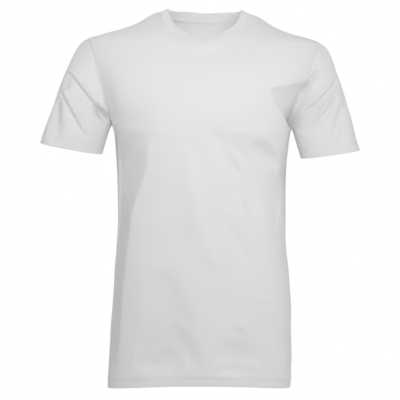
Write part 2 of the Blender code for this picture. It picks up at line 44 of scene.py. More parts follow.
# Camera and studio
studio = {
    "cameraPlace": (-0.010, -3.60, -0.3586),
    "cameraReach": 40.0,
    "lens": 167.9,
    "sensor": 36.0,
    "backdrop": (1.0, 1.0, 1.0, 1.0),
    "ambient": 0.380,         # of the white room, on the cloth
    "floorHeight": -1.45,     # the shoulders of somebody who stands are this high
    "floorRadius": 6.0,
    "floorSides": 96,
    "floorColour": (0.90, 0.90, 0.90, 1.0),
    "floorRoughness": 0.8,
    "lights": (               # name, place, aim, size, watts
        ("frontLeftLight", (-1.1, -3.0, -0.1), (0.0, 0.0, -0.3), 1.0, 6.4),
        ("frontRightLight", (1.1, -3.0, -0.1), (0.0, 0.0, -0.3), 1.0, 9.6),
        ("chestLight", (0.10, -1.00, 0.05), (0.02, 0.0, -0.22), 0.4, 3.35),
        ("leftLight", (-2.2, -0.5, 0.2), (0.0, 0.0, -0.3), 1.0, 3.6),
        ("nearLeftLight", (-1.0, -0.5, 0.5), (-0.2, 0.0, -0.2), 0.4, 2.0),
        ("highRightLight", (1.9, -0.2, 1.0), (0.0, 0.0, -0.2), 1.0, 7.6),
        ("lowRightLight", (1.8, -0.5, -1.1), (0.0, 0.0, -0.5), 0.8, 3.2),
        ("backLight", (0.0, 0.9, 1.4), (0.0, 0.0, -0.1), 1.2, 4.6),
        ("backFillLight", (0.6, 3.0, 0.2), (0.0, 0.0, -0.3), 1.2, 16.0),
        ("neckLight", (0.0, 0.012, -0.145), (0.0, 0.09, -0.06), 0.07, 0.088),   # inside the shirt
    ),
}


def addObject(name, data):
    thing = bpy.data.objects.new(name, data)
    bpy.context.scene.collection.objects.link(thing)
    return thing


def feed(tree, node, inputs):
    # Each input takes a plain value, or a link from another node's socket
    for name, value in inputs.items():
        if isinstance(value, bpy.types.NodeSocket):
            tree.links.new(value, node.inputs[name])
        else:
            node.inputs[name].default_value = value
    return node


def addNode(tree, kind, inputs):
    return feed(tree, tree.nodes.new(kind), inputs)


def newMaterial(name):
    material = bpy.data.materials.new(name)
    material.use_nodes = True
    return material, material.node_tree, material.node_tree.nodes["Principled BSDF"]


def addCamera():
    camera = addObject("camera", bpy.data.cameras.new("camera"))
    camera.location = studio["cameraPlace"]
    camera.rotation_euler = (math.pi / 2, 0.0, 0.0)      # level, along +Y
    camera.data.lens = studio["lens"]
    camera.data.sensor_width = studio["sensor"]
    camera.data.clip_end = studio["cameraReach"]
    bpy.context.scene.camera = camera


def addLight(name, place, aim, size, watts):
    light = addObject(name, bpy.data.lights.new(name, "AREA"))
    light.location = place
    light.rotation_mode = "QUATERNION"
    light.rotation_quaternion = (Vector(aim) - Vector(place)).to_track_quat("-Z", "Y")
    light.data.shape = "DISK"
    light.data.size = size
    light.data.energy = watts


def addRoom():
    world = bpy.data.worlds.new("whiteRoom")
    world.use_nodes = True
    tree = world.node_tree
    tree.nodes.clear()
    seen = addNode(tree, "ShaderNodeBackground", {"Color": studio["backdrop"]})
    lit = addNode(tree, "ShaderNodeBackground", {"Color": studio["backdrop"],
                                                 "Strength": studio["ambient"]})
    rays = tree.nodes.new("ShaderNodeLightPath")
    mix = addNode(tree, "ShaderNodeMixShader", {"Fac": rays.outputs["Is Camera Ray"],
                                                1: lit.outputs["Background"],
                                                2: seen.outputs["Background"]})
    addNode(tree, "ShaderNodeOutputWorld", {"Surface": mix.outputs["Shader"]})
    bpy.context.scene.world = world
    bpy.context.scene.view_settings.view_transform = "Standard"


def addFloor():
    mesh = bpy.data.meshes.new("floor")
    radius, sides = studio["floorRadius"], studio["floorSides"]
    turn = [2 * math.pi * side / sides for side in range(sides)]
    mesh.from_pydata([(radius * math.cos(a), radius * math.sin(a), studio["floorHeight"])
                      for a in turn], [], [list(range(sides))])
    floor = addObject("floor", mesh)
    paint, tree, shader = newMaterial("floorPaint")
    feed(tree, shader, {"Base Color": studio["floorColour"],
                        "Roughness": studio["floorRoughness"]})
    mesh.materials.append(paint)


addCamera()
addRoom()
addFloor()
for lightRow in studio["lights"]:
    addLight(*lightRow)
print("camera, room and lights set")


# The worn form: the same one that the solids have
sections = {   # one row a horizontal section; a squareness of 2 is an ellipse
    "columns": ("height", "halfWidth", "frontDepth", "backDepth", "sideLine", "squareness"),
    "rows": (
        (+0.0100, 0.0700, 0.0180, 0.0270, 0.0060, 2.10),
        (+0.0024, 0.0870, 0.0260, 0.0380, 0.0060, 2.15),
        (-0.0037, 0.1015, 0.0330, 0.0475, 0.0060, 2.20),
        (-0.0102, 0.1130, 0.0395, 0.0590, 0.0060, 2.20),
        (-0.0219, 0.1340, 0.0515, 0.0720, 0.0060, 2.25),
        (-0.0333, 0.1632, 0.0635, 0.0815, 0.0060, 2.25),
        (-0.0451, 0.2038, 0.0740, 0.0885, 0.0060, 2.30),
        (-0.0520, 0.2235, 0.0795, 0.0915, 0.0060, 2.30),
        (-0.0620, 0.2262, 0.0865, 0.0950, 0.0055, 2.30),
        (-0.0780, 0.2262, 0.0955, 0.1000, 0.0050, 2.30),
        (-0.0940, 0.2237, 0.1035, 0.1035, 0.0040, 2.30),
        (-0.1130, 0.2197, 0.1110, 0.1065, 0.0030, 2.30),
        (-0.1340, 0.2125, 0.1175, 0.1085, 0.0020, 2.30),
        (-0.1640, 0.2005, 0.1230, 0.1085, 0.0010, 2.30),
        (-0.1910, 0.1880, 0.1250, 0.1065, 0.0000, 2.30),
        (-0.2150, 0.1745, 0.1250, 0.1035, 0.0000, 2.30),
        (-0.2350, 0.1686, 0.1240, 0.1010, 0.0000, 2.30),
        (-0.2600, 0.1662, 0.1220, 0.0975, 0.0000, 2.30),
        (-0.3050, 0.1631, 0.1190, 0.0920, 0.0000, 2.30),
        (-0.3660, 0.1613, 0.1165, 0.0880, 0.0000, 2.30),
        (-0.4430, 0.1628, 0.1160, 0.0890, 0.0000, 2.25),
        (-0.5050, 0.1680, 0.1170, 0.0935, 0.0000, 2.25),
        (-0.5700, 0.1722, 0.1175, 0.0985, 0.0000, 2.25),
        (-0.6300, 0.1742, 0.1175, 0.1015, 0.0000, 2.25),
        (-0.6900, 0.1762, 0.1170, 0.1030, 0.0000, 2.25),
        (-0.7250, 0.1764, 0.1165, 0.1030, 0.0000, 2.25),
    ),
}
stance = {     # how far the middle of the body lies from the middle of the neck
    "columns": ("height", "shift"),
    "rows": (
        (+0.0100, -0.0010),
        (-0.0500, -0.0023),
        (-0.1500, -0.0050),
        (-0.2600, -0.0070),
        (-0.3300, -0.0071),
        (-0.5700, -0.0075),
        (-0.6300, -0.0090),
        (-0.7200, -0.0115),
    ),
    "tilt": 0.019,            # the shoulders are a little lower at +X
    "tiltTop": -0.20,
    "tiltBottom": -0.42,
    "neckLean": 0.0050,       # the lowest part of the neck, in front, lies towards -X
    "neckLeanWidth": 0.060,
    "neckLeanHeight": 0.036,
}
cut = {
    "neckPoint": 0.0024,      # heights, before the shoulders tilt
    "shoulderTip": -0.0520,
    "underarm": -0.2180,
    "frontNeck": -0.0590,
    "backNeck": -0.0090,
    "frontNeckRoundness": 1.95,
    "backNeckRoundness": 2.1,
    "sideHem": -0.7176,
    "frontHem": -0.7062,
    "backHem": -0.7181,
    "hemWidth": 0.0200,
    "frontArmholeDepth": 0.0520,
    "backArmholeDepth": 0.0560,
    "armholeFullness": 0.85,
    "armholePull": 5.0,
    "armholeCarry": 0.35,
}
cells = {                     # the coarse grid, and how finely each of its cells is cut
    "shoulder": 6,
    "neck": 16,
    "armhole": 13,
    "side": 24,
    "relaxing": 60,
    "relaxedRows": 8,
    "sleeve": 11,
    "steps": 6,
    "sleeveSteps": 9,
    "linePoints": 160,
    "curveSteps": 24,         # from one given point of a crease to the next
}


mirror = np.array((-1.0, 1.0, 1.0))


def softStep(low, high, at):
    t = np.clip((at - low) / (high - low), 0.0, 1.0)
    return t * t * (3 - 2 * t)


def bell(offset, width):
    return np.exp(-(offset / width) ** 2)


def rounded(value, power):
    return np.sign(value) * np.abs(value) ** power


def curved(t, start, leaving, end, arriving):
    # From start to end, with the way it leaves and the way it arrives
    return ((1 + 2 * t) * (1 - t) ** 2 * start + t * (1 - t) ** 2 * leaving
            + t ** 2 * (3 - 2 * t) * end + t ** 2 * (t - 1) * arriving)


def tableValue(table, name, at):
    # A smooth line through a column of a table; at is read in the table's first column
    knots = np.array([row[0] for row in table["rows"]])
    values = np.array([row[table["columns"].index(name)] for row in table["rows"]])
    if knots[0] > knots[-1]:
        knots, values = knots[::-1], values[::-1]
    steps = np.diff(knots)
    chords = np.diff(values) / steps
    slopes = np.empty_like(values)
    slopes[0], slopes[-1] = chords[0], chords[-1]
    slopes[1:-1] = (chords[:-1] * steps[1:] + chords[1:] * steps[:-1]) / (steps[1:] + steps[:-1])
    at = np.clip(at, knots[0], knots[-1])
    span = np.clip(np.searchsorted(knots, at, side="right") - 1, 0, len(steps) - 1)
    size = steps[span]
    return curved((at - knots[span]) / size, values[span], size * slopes[span],
                  values[span + 1], size * slopes[span + 1])


def sectionValue(name, height):
    return tableValue(sections, name, height)


def depthOf(facing, height):
    # Facing is negative at the front and positive at the back
    return np.where(facing < 0, sectionValue("frontDepth", height),
                    sectionValue("backDepth", height))


def sectionPoint(angle, height):
    # Angle 0 is the front, a quarter turn is +X
    power = 2.0 / sectionValue("squareness", height)
    x = sectionValue("halfWidth", height) * rounded(np.sin(angle), power)
    depth = depthOf(-np.cos(angle), height)
    y = sectionValue("sideLine", height) - depth * rounded(np.cos(angle), power)
    return np.stack(np.broadcast_arrays(x, y, height), axis=-1)


def frontOrBack(x, height, facing):
    squareness = sectionValue("squareness", height)
    share = np.clip(np.abs(x) / sectionValue("halfWidth", height), 0.0, 1.0)
    fore = facing * depthOf(facing, height) * (1 - share ** squareness) ** (1.0 / squareness)
    y = sectionValue("sideLine", height) + fore
    return np.stack(np.broadcast_arrays(x, y, height), axis=-1)


def pathLengths(points):
    return np.concatenate(([0.0], np.cumsum(np.linalg.norm(np.diff(points, axis=0), axis=1))))


def spaced(points, shares):
    run = pathLengths(points)
    return np.stack([np.interp(shares * run[-1], run, values) for values in points.T], axis=1)


def unit(vectors):
    return vectors / np.maximum(np.linalg.norm(vectors, axis=-1, keepdims=True), 1e-12)


def formExcess(at):
    # 0 on the form, more outside it
    height = at[..., 2]
    squareness = sectionValue("squareness", height)
    fore = at[..., 1] - sectionValue("sideLine", height)
    return (np.abs(at[..., 0] / sectionValue("halfWidth", height)) ** squareness
            + np.abs(fore / depthOf(fore, height)) ** squareness) ** (1.0 / squareness) - 1.0


def formSlope(points):
    reach = 1e-5
    return np.stack([(formExcess(points + by) - formExcess(points - by)) / (2 * reach)
                     for by in reach * np.eye(3)], axis=-1)


def ontoForm(points, rounds=4):
    for _ in range(rounds):
        slope = formSlope(points)
        points = points - slope * (formExcess(points) / (slope ** 2).sum(axis=-1))[..., None]
    return points


def armholeSeam(facing):
    # At +X, from the shoulder tip down to the underarm
    turn = np.linspace(0.0, math.pi, 2 * cells["linePoints"])
    drop = cut["underarm"] - cut["shoulderTip"]
    height = cut["shoulderTip"] + drop * (1 - np.cos(turn)) / 2
    depth = cut["frontArmholeDepth" if facing < 0 else "backArmholeDepth"]
    fore = facing * depth * np.sin(turn) ** cut["armholeFullness"]
    squareness = sectionValue("squareness", height)
    share = (1 - np.abs(fore / depthOf(facing, height)) ** squareness) ** (1.0 / squareness)
    x = sectionValue("halfWidth", height) * share
    return np.stack((x, sectionValue("sideLine", height) + fore, height), axis=1)


def shoulderSeam():
    height = np.linspace(cut["neckPoint"], cut["shoulderTip"], cells["linePoints"])
    return sectionPoint(np.full_like(height, math.pi / 2), height)


def neckSeam(facing):
    # From the shoulder seam at +X to the middle
    turn = np.linspace(0.0, math.pi / 2, cells["linePoints"])
    side = "front" if facing < 0 else "back"
    power = 2.0 / cut[side + "NeckRoundness"]
    x = sectionValue("halfWidth", cut["neckPoint"]) * np.cos(turn) ** power
    height = cut["neckPoint"] + (cut[side + "Neck"] - cut["neckPoint"]) * np.sin(turn) ** power
    return frontOrBack(x, height, facing)


def topEdge(facing, steps=1):
    shoulder = spaced(shoulderSeam(), np.linspace(0.0, 1.0, cells["shoulder"] * steps + 1))
    shoulder = sectionPoint(math.pi / 2, shoulder[:, 2])
    neck = spaced(neckSeam(facing), np.linspace(0.0, 1.0, cells["neck"] // 2 * steps + 1))
    half = np.concatenate((neck[::-1], shoulder[1:]))
    return np.concatenate(((half * mirror)[:0:-1], half))


def hemHeight(share, facing):
    middle = cut["frontHem" if facing < 0 else "backHem"]
    return cut["sideHem"] + (middle - cut["sideHem"]) * np.cos(share * math.pi / 2) ** 2


def downShares(steps=1):
    stitching = 1.0 - cut["hemWidth"] / (cut["underarm"] - cut["sideHem"])
    coarse = np.append(np.linspace(0.0, stitching, cells["side"]), 1.0)
    return np.interp(np.arange(cells["side"] * steps + 1) / steps, np.arange(len(coarse)), coarse)


def coarsePanel(facing):
    # Rows run down from the top edge to the hem, columns from -X to +X
    top = topEdge(facing)
    columns = len(top)
    share = np.linspace(-1.0, 1.0, columns)
    angle = share * math.pi / 2 if facing < 0 else math.pi - share * math.pi / 2
    chest = sectionPoint(angle, np.full(columns, cut["underarm"]))

    fall = (np.linspace(0.0, 1.0, cells["linePoints"]) ** 2)[:, None]
    height = top[:, 2] + (cut["underarm"] - top[:, 2]) * fall
    armhole = armholeSeam(facing)
    armholeX = np.interp(-(cut["shoulderTip"] + (cut["underarm"] - cut["shoulderTip"]) * fall),
                         -armhole[:, 2], armhole[:, 0])
    level = armhole[0, 0] + (armhole[-1, 0] - armhole[0, 0]) * softStep(0.0, 1.0, fall)
    x = (top[:, 0] + (chest[:, 0] - top[:, 0]) * softStep(0.0, 1.0, fall)
         + rounded(share, cut["armholePull"]) * (armholeX - level))
    surface = frontOrBack(x, height, facing)
    rows = np.linspace(0.0, 1.0, cells["armhole"] + 1)
    upper = np.stack([spaced(surface[:, column], rows) for column in range(columns)], axis=1)
    upper[0] = top
    upper[:, -1] = spaced(armhole, rows)
    upper[:, 0] = upper[:, -1] * mirror

    drop = hemHeight(share, facing) - cut["underarm"]
    height = cut["underarm"] + drop * downShares()[1:, None]
    lower = sectionPoint(np.broadcast_to(angle, height.shape), height)
    grid = np.concatenate((upper, lower))
    last = cells["armhole"] + cells["relaxedRows"]
    for _ in range(cells["relaxing"]):
        middle = (grid[:last - 1, 1:-1] + grid[2:last + 1, 1:-1]
                  + grid[1:last, :-2] + grid[1:last, 2:]) / 4
        grid[1:last, 1:-1] = ontoForm(middle)
    return grid


def refined(grid, steps, axis):
    # A smooth line through the points of one axis, in so many steps from one to the next
    points = np.moveaxis(grid, axis, 0)
    points = np.concatenate(([2 * points[0] - points[1]], points, [2 * points[-1] - points[-2]]))
    before, start, end, after = (points[k:len(points) - 3 + k, None] for k in range(4))
    t = (np.arange(steps) / steps).reshape((1, steps) + (1,) * (points.ndim - 1))
    fine = 0.5 * (2 * start + (end - before) * t
                  + (2 * before - 5 * start + 4 * end - after) * t ** 2
                  + (3 * start - before - 3 * end + after) * t ** 3)
    fine = fine.reshape((-1,) + points.shape[1:])
    return np.moveaxis(np.concatenate((fine, points[-2:-1])), 0, axis)


def curveThrough(points):
    return refined(np.array(points)[:, None], cells["curveSteps"], 0)[:, 0]


def finePanel(facing):
    # The coarse grid cut finely, with its edges put exactly on the seams
    steps = cells["steps"]
    grid = refined(refined(coarsePanel(facing), steps, 0), steps, 1)
    armhole = spaced(armholeSeam(facing), np.linspace(0.0, 1.0, cells["armhole"] * steps + 1))
    height = cut["underarm"] + (cut["sideHem"] - cut["underarm"]) * downShares(steps)[1:]
    side = np.concatenate((armhole, sectionPoint(np.full_like(height, math.pi / 2), height)))
    fade = lambda count: np.clip(1 - np.arange(count) / (2.0 * steps), 0.0, 1.0) ** 2
    across = fade(grid.shape[1])[None, :, None]
    grid = (grid + (side * mirror - grid[:, 0])[:, None] * across
            + (side - grid[:, -1])[:, None] * across[:, ::-1])
    grid = grid + (topEdge(facing, steps) - grid[0])[None] * fade(grid.shape[0])[:, None, None]
    grid[1:, 1:-1] = ontoForm(grid[1:, 1:-1])
    return grid


def normalsOf(grid, closed):
    # Outward directions of a grid's points, the mean of the faces round each
    if closed:
        grid = np.concatenate((grid[:, -1:], grid, grid[:, :1]), axis=1)
    faces = unit(np.cross(grid[1:, 1:] - grid[:-1, :-1], grid[:-1, 1:] - grid[1:, :-1]))
    around = np.pad(faces, ((1, 1), (1, 1), (0, 0)))
    normals = unit(around[1:, 1:] + around[:-1, 1:] + around[1:, :-1] + around[:-1, :-1])
    return normals[:, 1:-1] if closed else normals


def inStance(grid):
    x, y, z = grid[..., 0], grid[..., 1], grid[..., 2]
    tilt = stance["tilt"] * softStep(stance["tiltBottom"], stance["tiltTop"], z)
    lean = bell(x, stance["neckLeanWidth"]) * bell(z - cut["frontNeck"], stance["neckLeanHeight"])
    lean = stance["neckLean"] * lean * softStep(0.0, stance["neckLeanWidth"], -y)
    return np.stack((x + tableValue(stance, "shift", z) - lean, y, z - tilt * x), axis=-1)


# Folds
# Each fold is a smooth line through a few points (x, z), seen from the front, then its depth,
# left width, right width, lip and edge. Depth is how far the cloth is pressed in, or out where
# it is negative. The widths differ where one side of a fold is steeper. Lip is a soft ridge
# along the left, as a share of the depth, or along the right where it is negative. Edge is how
# crisp the fold's bottom is.
foldLook = {
    "linePoints": 140,
    "nearest": 6,             # points of the cloth that each point of a line lies between
    "nearestSpread": 0.0005,  # more lets the farther ones count more
    "smoothing": 4,           # points of a line, each way
    "reach": 5.0,             # how far a fold is felt, in widths
    "tipWidth": 0.55,         # a fold's width at its ends, as a share of its middle's
    "taper": 0.8,
    "round": 0.18,            # how round the bottom of the crispest fold is
    "lipPlace": 1.6,          # from the line to the lip, in widths
    "ends": 0.75,             # less keeps the depth closer to the ends
    "seamFade": (0.0015, 0.0055),   # folds die out between these distances from a seam
    "turnFade": 0.35,         # and where the cloth turns from the front to the back
    "swells": (               # slow waves in the cloth: direction, length, size, start
        ((0.80, 0.10, 0.60), 0.170, 0.0007, 0.4),
        ((-0.55, 0.20, 0.83), 0.115, 0.0006, 2.1),
        ((0.95, -0.30, 0.15), 0.083, 0.0004, 4.0),
        ((0.25, 0.60, -0.75), 0.061, 0.0003, 1.2),
        ((-0.85, 0.35, 0.40), 0.047, 0.0002, 5.2),
    ),
}
seamLook = {                  # the cloth turns in at a seam, and swells a little beside it
    "depth": 0.0003,
    "width": 0.0016,
    "swell": 0.0001,
    "swellPlace": 0.0045,
}


def foldLine(points, cloth):
    # Evenly spaced points of a fold's line, laid on the cloth
    plane = spaced(curveThrough(points), np.linspace(0.0, 1.0, foldLook["linePoints"]))
    apart = np.linalg.norm(plane[:, None] - cloth[None][..., [0, 2]], axis=-1)
    near = np.argsort(apart, axis=1)[:, :foldLook["nearest"]]
    apart = np.take_along_axis(apart, near, axis=1)
    weight = 1.0 / (apart + foldLook["nearestSpread"]) ** 2
    y = (cloth[near, 1] * weight).sum(axis=1) / weight.sum(axis=1)
    window = 2 * foldLook["smoothing"] + 1
    y = np.convolve(np.pad(y, foldLook["smoothing"], mode="edge"), np.ones(window) / window,
                    mode="valid")
    return np.stack((plane[:, 0], y, plane[:, 1]), axis=1)


def foldedDepth(folds, points, normals, chosen):
    # How far each point is pressed in by a list of folds
    moved = np.zeros(len(points))
    for knots, depth, left, right, lip, edge in folds:
        line = foldLine(knots, points[chosen])
        reach = foldLook["reach"] * max(left, right)
        index = np.nonzero(chosen & np.all((points > line.min(axis=0) - reach)
                                           & (points < line.max(axis=0) + reach), axis=1))[0]
        at = points[index]
        apart = np.linalg.norm(at[:, None] - line[None], axis=-1)
        near = apart.argmin(axis=1)
        along = unit(np.gradient(line, axis=0))[near]
        offset = ((at - line[near]) * np.cross(normals[index], along)).sum(axis=1)
        beyond = np.sqrt(np.maximum(apart.min(axis=1) ** 2 - offset ** 2, 0.0))
        middle = np.sin(math.pi * (near / (len(line) - 1)))
        taper = foldLook["tipWidth"] + (1 - foldLook["tipWidth"]) * middle ** foldLook["taper"]
        width = np.where(offset > 0, left, right) * taper
        q = np.sqrt((offset / width) ** 2 + foldLook["round"] ** 2) - foldLook["round"]
        lipWidth = (left if lip > 0 else right) * taper
        lipPlace = math.copysign(foldLook["lipPlace"], lip) * lipWidth
        ends = middle ** foldLook["ends"] * bell(beyond, (left + right) / 2)
        moved[index] += depth * ends * (np.exp(-q ** edge)
                                        - abs(lip) * bell(offset - lipPlace, lipWidth))
    return moved


def pressed(grid, closed, seams, frontRows, backRows, relief):
    # The grid with its folds and swells; relief is the piece's own hem
    normals = normalsOf(grid, closed).reshape(-1, 3)
    points = grid.reshape(-1, 3)
    front = normals[:, 1] < 0
    facing = softStep(0.0, foldLook["turnFade"], np.abs(normals[:, 1]))
    moved = foldedDepth(frontRows, points, normals, front) * facing
    moved += foldedDepth(backRows, points, normals, ~front) * facing
    for direction, length, size, start in foldLook["swells"]:
        moved += size * np.sin(points @ (np.array(direction) * 2 * math.pi / length) + start)
    edge = np.concatenate(seams)[::3]      # every third point is close enough
    gap = np.concatenate([np.linalg.norm(row[:, None] - edge[None], axis=-1).min(axis=1)
                          for row in grid])
    moved *= softStep(*foldLook["seamFade"], gap)
    moved += seamLook["depth"] * bell(gap, seamLook["width"])
    moved -= seamLook["swell"] * bell(gap - seamLook["swellPlace"], seamLook["width"])
    moved = moved.reshape(grid.shape[:2]) + relief(grid)
    return grid - normals.reshape(grid.shape) * moved[..., None]


# Meshes
def addShell(name, outer, uv, wall, material, closed=False, roundTop=False, roundBottom=True):
    # A closed wall: the outer points, a round edge, the inner points and back again
    rows, columns = outer.shape[:2]
    half = normalsOf(outer, closed) * np.reshape(wall, (-1, 1, 1)) / 2
    inner = outer - 2 * half
    arc = [math.pi * k / 4 for k in (1, 2, 3)]
    topTurn = len(arc) if roundTop else 0
    bottomTurn = len(arc) if roundBottom else 0

    def turned(edge, before, halfEdge):
        down = unit(edge - before)
        down = down - unit(halfEdge) * (down * unit(halfEdge)).sum(axis=-1, keepdims=True)
        down = down * np.linalg.norm(halfEdge, axis=-1, keepdims=True)
        return [edge - halfEdge + halfEdge * math.cos(a) + down * math.sin(a) for a in arc]

    ring = list(outer)
    if roundBottom:
        ring += turned(outer[-1], outer[-2], half[-1])
    ring += list(inner[::-1])
    if roundTop:
        ring += turned(outer[0], outer[1], half[0])[::-1]
    rowOf = [*range(rows), *[rows - 1] * bottomTurn, *range(rows)[::-1], *[0] * topTurn]
    around = len(ring)
    faces, corners = [], []
    for row in range(around):
        nextRow = (row + 1) % around
        for column in range(columns if closed else columns - 1):
            after = (column + 1) % columns
            faces.append((row * columns + column, nextRow * columns + column,
                          nextRow * columns + after, row * columns + after))
            corners += [(rowOf[row], column), (rowOf[nextRow], column),
                        (rowOf[nextRow], column + 1), (rowOf[row], column + 1)]
    for column in () if closed else (0, columns - 1):
        caps = [[row, around - 1 - row - topTurn, around - 2 - row - topTurn, row + 1]
                for row in range(rows - 1)]
        if roundBottom:
            caps.append([rows - 1, *range(rows + bottomTurn, rows - 1, -1)])
        if roundTop:
            caps.append([*range(around - 1 - topTurn, around), 0])
        for cap in caps:
            cap = cap[::-1] if column else cap
            faces.append(tuple(row * columns + column for row in cap))
            corners += [(rowOf[row], column) for row in cap]
    mesh = bpy.data.meshes.new(name)
    mesh.from_pydata(np.concatenate(ring).tolist(), [], faces)
    layer = mesh.uv_layers.new(name="cloth")
    index = np.array(corners)
    layer.data.foreach_set("uv", uv[index[:, 0], index[:, 1]].astype(np.float32).ravel())
    mesh.materials.append(material)
    mesh.shade_smooth()
    mesh.set_sharp_from_angle(angle=math.radians(60))
    return addObject(name, mesh)


def distanceUp(grid):
    # Along each column, from the bottom edge
    down = np.linalg.norm(np.diff(grid, axis=0), axis=-1)
    return np.concatenate((np.cumsum(down[::-1], axis=0)[::-1], np.zeros((1, grid.shape[1]))))


def clothMap(grid, closed):
    # Metres across and up the cloth, counted from the middle column and the bottom row
    if closed:
        grid = np.concatenate((grid, grid[:, :1]), axis=1)
    across = np.cumsum(np.linalg.norm(np.diff(grid, axis=1), axis=-1), axis=1)
    across = np.pad(across, ((0, 0), (1, 0)))
    middle = grid.shape[1] // 2
    across = across - across[:, middle:middle + 1]
    if closed:
        across = np.broadcast_to(across[-1], across.shape)
    return np.stack((across, distanceUp(grid)), axis=-1)


# Materials
def mathNode(tree, operation, *values):
    node = tree.nodes.new("ShaderNodeMath")
    node.operation = operation
    return feed(tree, node, dict(enumerate(values))).outputs["Value"]


def scaled(tree, vector, by):
    node = tree.nodes.new("ShaderNodeVectorMath")
    node.operation = "SCALE"
    return feed(tree, node, {0: vector, "Scale": by}).outputs["Vector"]


def newTree(kind, name, inputs, outputs):
    # Inputs are a name, a socket and its value, outputs a name and a socket
    tree = bpy.data.node_groups.new(name, kind)
    for label, socket, value in inputs:
        item = tree.interface.new_socket(label, in_out="INPUT", socket_type="NodeSocket" + socket)
        if value is not None:
            item.default_value = value
    for label, socket in outputs:
        tree.interface.new_socket(label, in_out="OUTPUT", socket_type="NodeSocket" + socket)
    return tree, tree.nodes.new("NodeGroupInput").outputs, tree.nodes.new("NodeGroupOutput")


cloths = {    # colour, width and height of a stitch, its relief, roughness, sheen
    "jerseyCloth": ((0.80, 0.80, 0.805, 1.0), 0.0010, 0.0008, 0.00020, 0.88, 0.15),
    "ribCloth": ((0.80, 0.80, 0.805, 1.0), 0.0009, 0.0007, 0.00012, 0.88, 0.15),
    "tapeCloth": ((0.82, 0.82, 0.825, 1.0), 0.0007, 0.0006, 0.00012, 0.85, 0.10),
}
clothLook = {
    "slant": 0.9,             # of a stitch's legs
    "roundness": 0.6,         # of a stitch; less is flatter on top
    "paintedKnitShade": -0.05,       # painted shade: how much darker the colour is painted between the stitches
    "knitBump": 0.5,
    "fluffSize": 900.0,
    "fluffBump": 0.25,
    "fluffHeight": 0.0001,
    "patchSize": 9.0,         # of the slow changes of tone
    "patchChange": 0.02,
    "shine": 0.25,
    "sheenRoughness": 0.5,
}
threadLook = {
    "colour": (0.84, 0.84, 0.845, 1.0),
    # painted shade: the colour of the grooves of the twist
    "paintedGrooveShade": (0.7224, 0.7224, 0.7267, 1.0),
    "twist": 900.0,
    "relief": 0.00008,
    "roughness": 0.55,
    "sheen": 0.2,
}


def jerseyKnit():
    # Columns of V stitches: two slanting legs to a column, a new V every course
    tree, given, result = newTree(
        "ShaderNodeTree", "jerseyKnit",
        (("Map", "Vector", None), ("Wale", "Float", 0.0010), ("Course", "Float", 0.0008),
         ("Slant", "Float", clothLook["slant"])),
        (("Height", "Float"), ("Depth", "Float")))
    place = addNode(tree, "ShaderNodeSeparateXYZ", {"Vector": given["Map"]}).outputs
    wale = mathNode(tree, "FRACT", mathNode(tree, "DIVIDE", place["X"], given["Wale"]))
    leg = mathNode(tree, "ABSOLUTE", mathNode(tree, "SUBTRACT", wale, 0.5))
    lean = mathNode(tree, "MULTIPLY", leg, given["Slant"])
    course = mathNode(tree, "DIVIDE", place["Y"], given["Course"])
    turn = mathNode(tree, "MULTIPLY", mathNode(tree, "SUBTRACT", course, lean), math.pi)
    along = mathNode(tree, "ABSOLUTE", mathNode(tree, "SINE", turn))
    along = mathNode(tree, "POWER", along, clothLook["roundness"])
    middle = mathNode(tree, "MULTIPLY", mathNode(tree, "SUBTRACT", leg, 0.25), 4.0)
    across = mathNode(tree, "SUBTRACT", 1.0, mathNode(tree, "MULTIPLY", middle, middle))
    across = mathNode(tree, "SQRT", mathNode(tree, "MAXIMUM", across, 0.0))
    height = mathNode(tree, "MULTIPLY", across, mathNode(tree, "MULTIPLY_ADD", along, 0.5, 0.5))
    # Depth, high between the stitches, drives the painted shade there
    feed(tree, result, {"Height": height, "Depth": mathNode(tree, "SUBTRACT", 1.0, height)})
    return tree


def clothTone():
    # Slow, faint changes of tone and lint, a little lighter and darker from place to place, and
    # painted shade between the stitches
    tree, given, result = newTree(
        "ShaderNodeTree", "clothTone",
        (("Place", "Vector", None), ("Colour", "Color", (0.8, 0.8, 0.8, 1.0)),
         ("Depth", "Float", 0.0), ("Patch", "Float", clothLook["patchSize"]),
         ("Change", "Float", clothLook["patchChange"])),
        (("Colour", "Color"), ("Fluff", "Float")))
    patches, fluff = (
        addNode(tree, "ShaderNodeTexNoise", {"Vector": given["Place"], "Scale": size,
                                             "Detail": detail}).outputs["Fac"]
        for size, detail in ((given["Patch"], 3.0), (clothLook["fluffSize"], 2.0)))
    swing = mathNode(tree, "SUBTRACT", patches, 0.5)
    swing = mathNode(tree, "MULTIPLY", mathNode(tree, "MULTIPLY", swing, given["Change"]), 2.0)
    # painted shade: the colour is darkened where the knit lies deep, between the stitches
    shade = mathNode(tree, "MULTIPLY_ADD", given["Depth"], clothLook["paintedKnitShade"], 1.0)
    colour = scaled(tree, given["Colour"], mathNode(tree, "ADD", shade, swing))
    feed(tree, result, {"Colour": colour, "Fluff": fluff})
    return tree


knitGroup = jerseyKnit()
toneGroup = clothTone()


def addGroup(tree, group, inputs):
    node = tree.nodes.new("ShaderNodeGroup")
    node.node_tree = group
    return feed(tree, node, inputs).outputs


def addBump(tree, inputs):
    return addNode(tree, "ShaderNodeBump", inputs).outputs["Normal"]


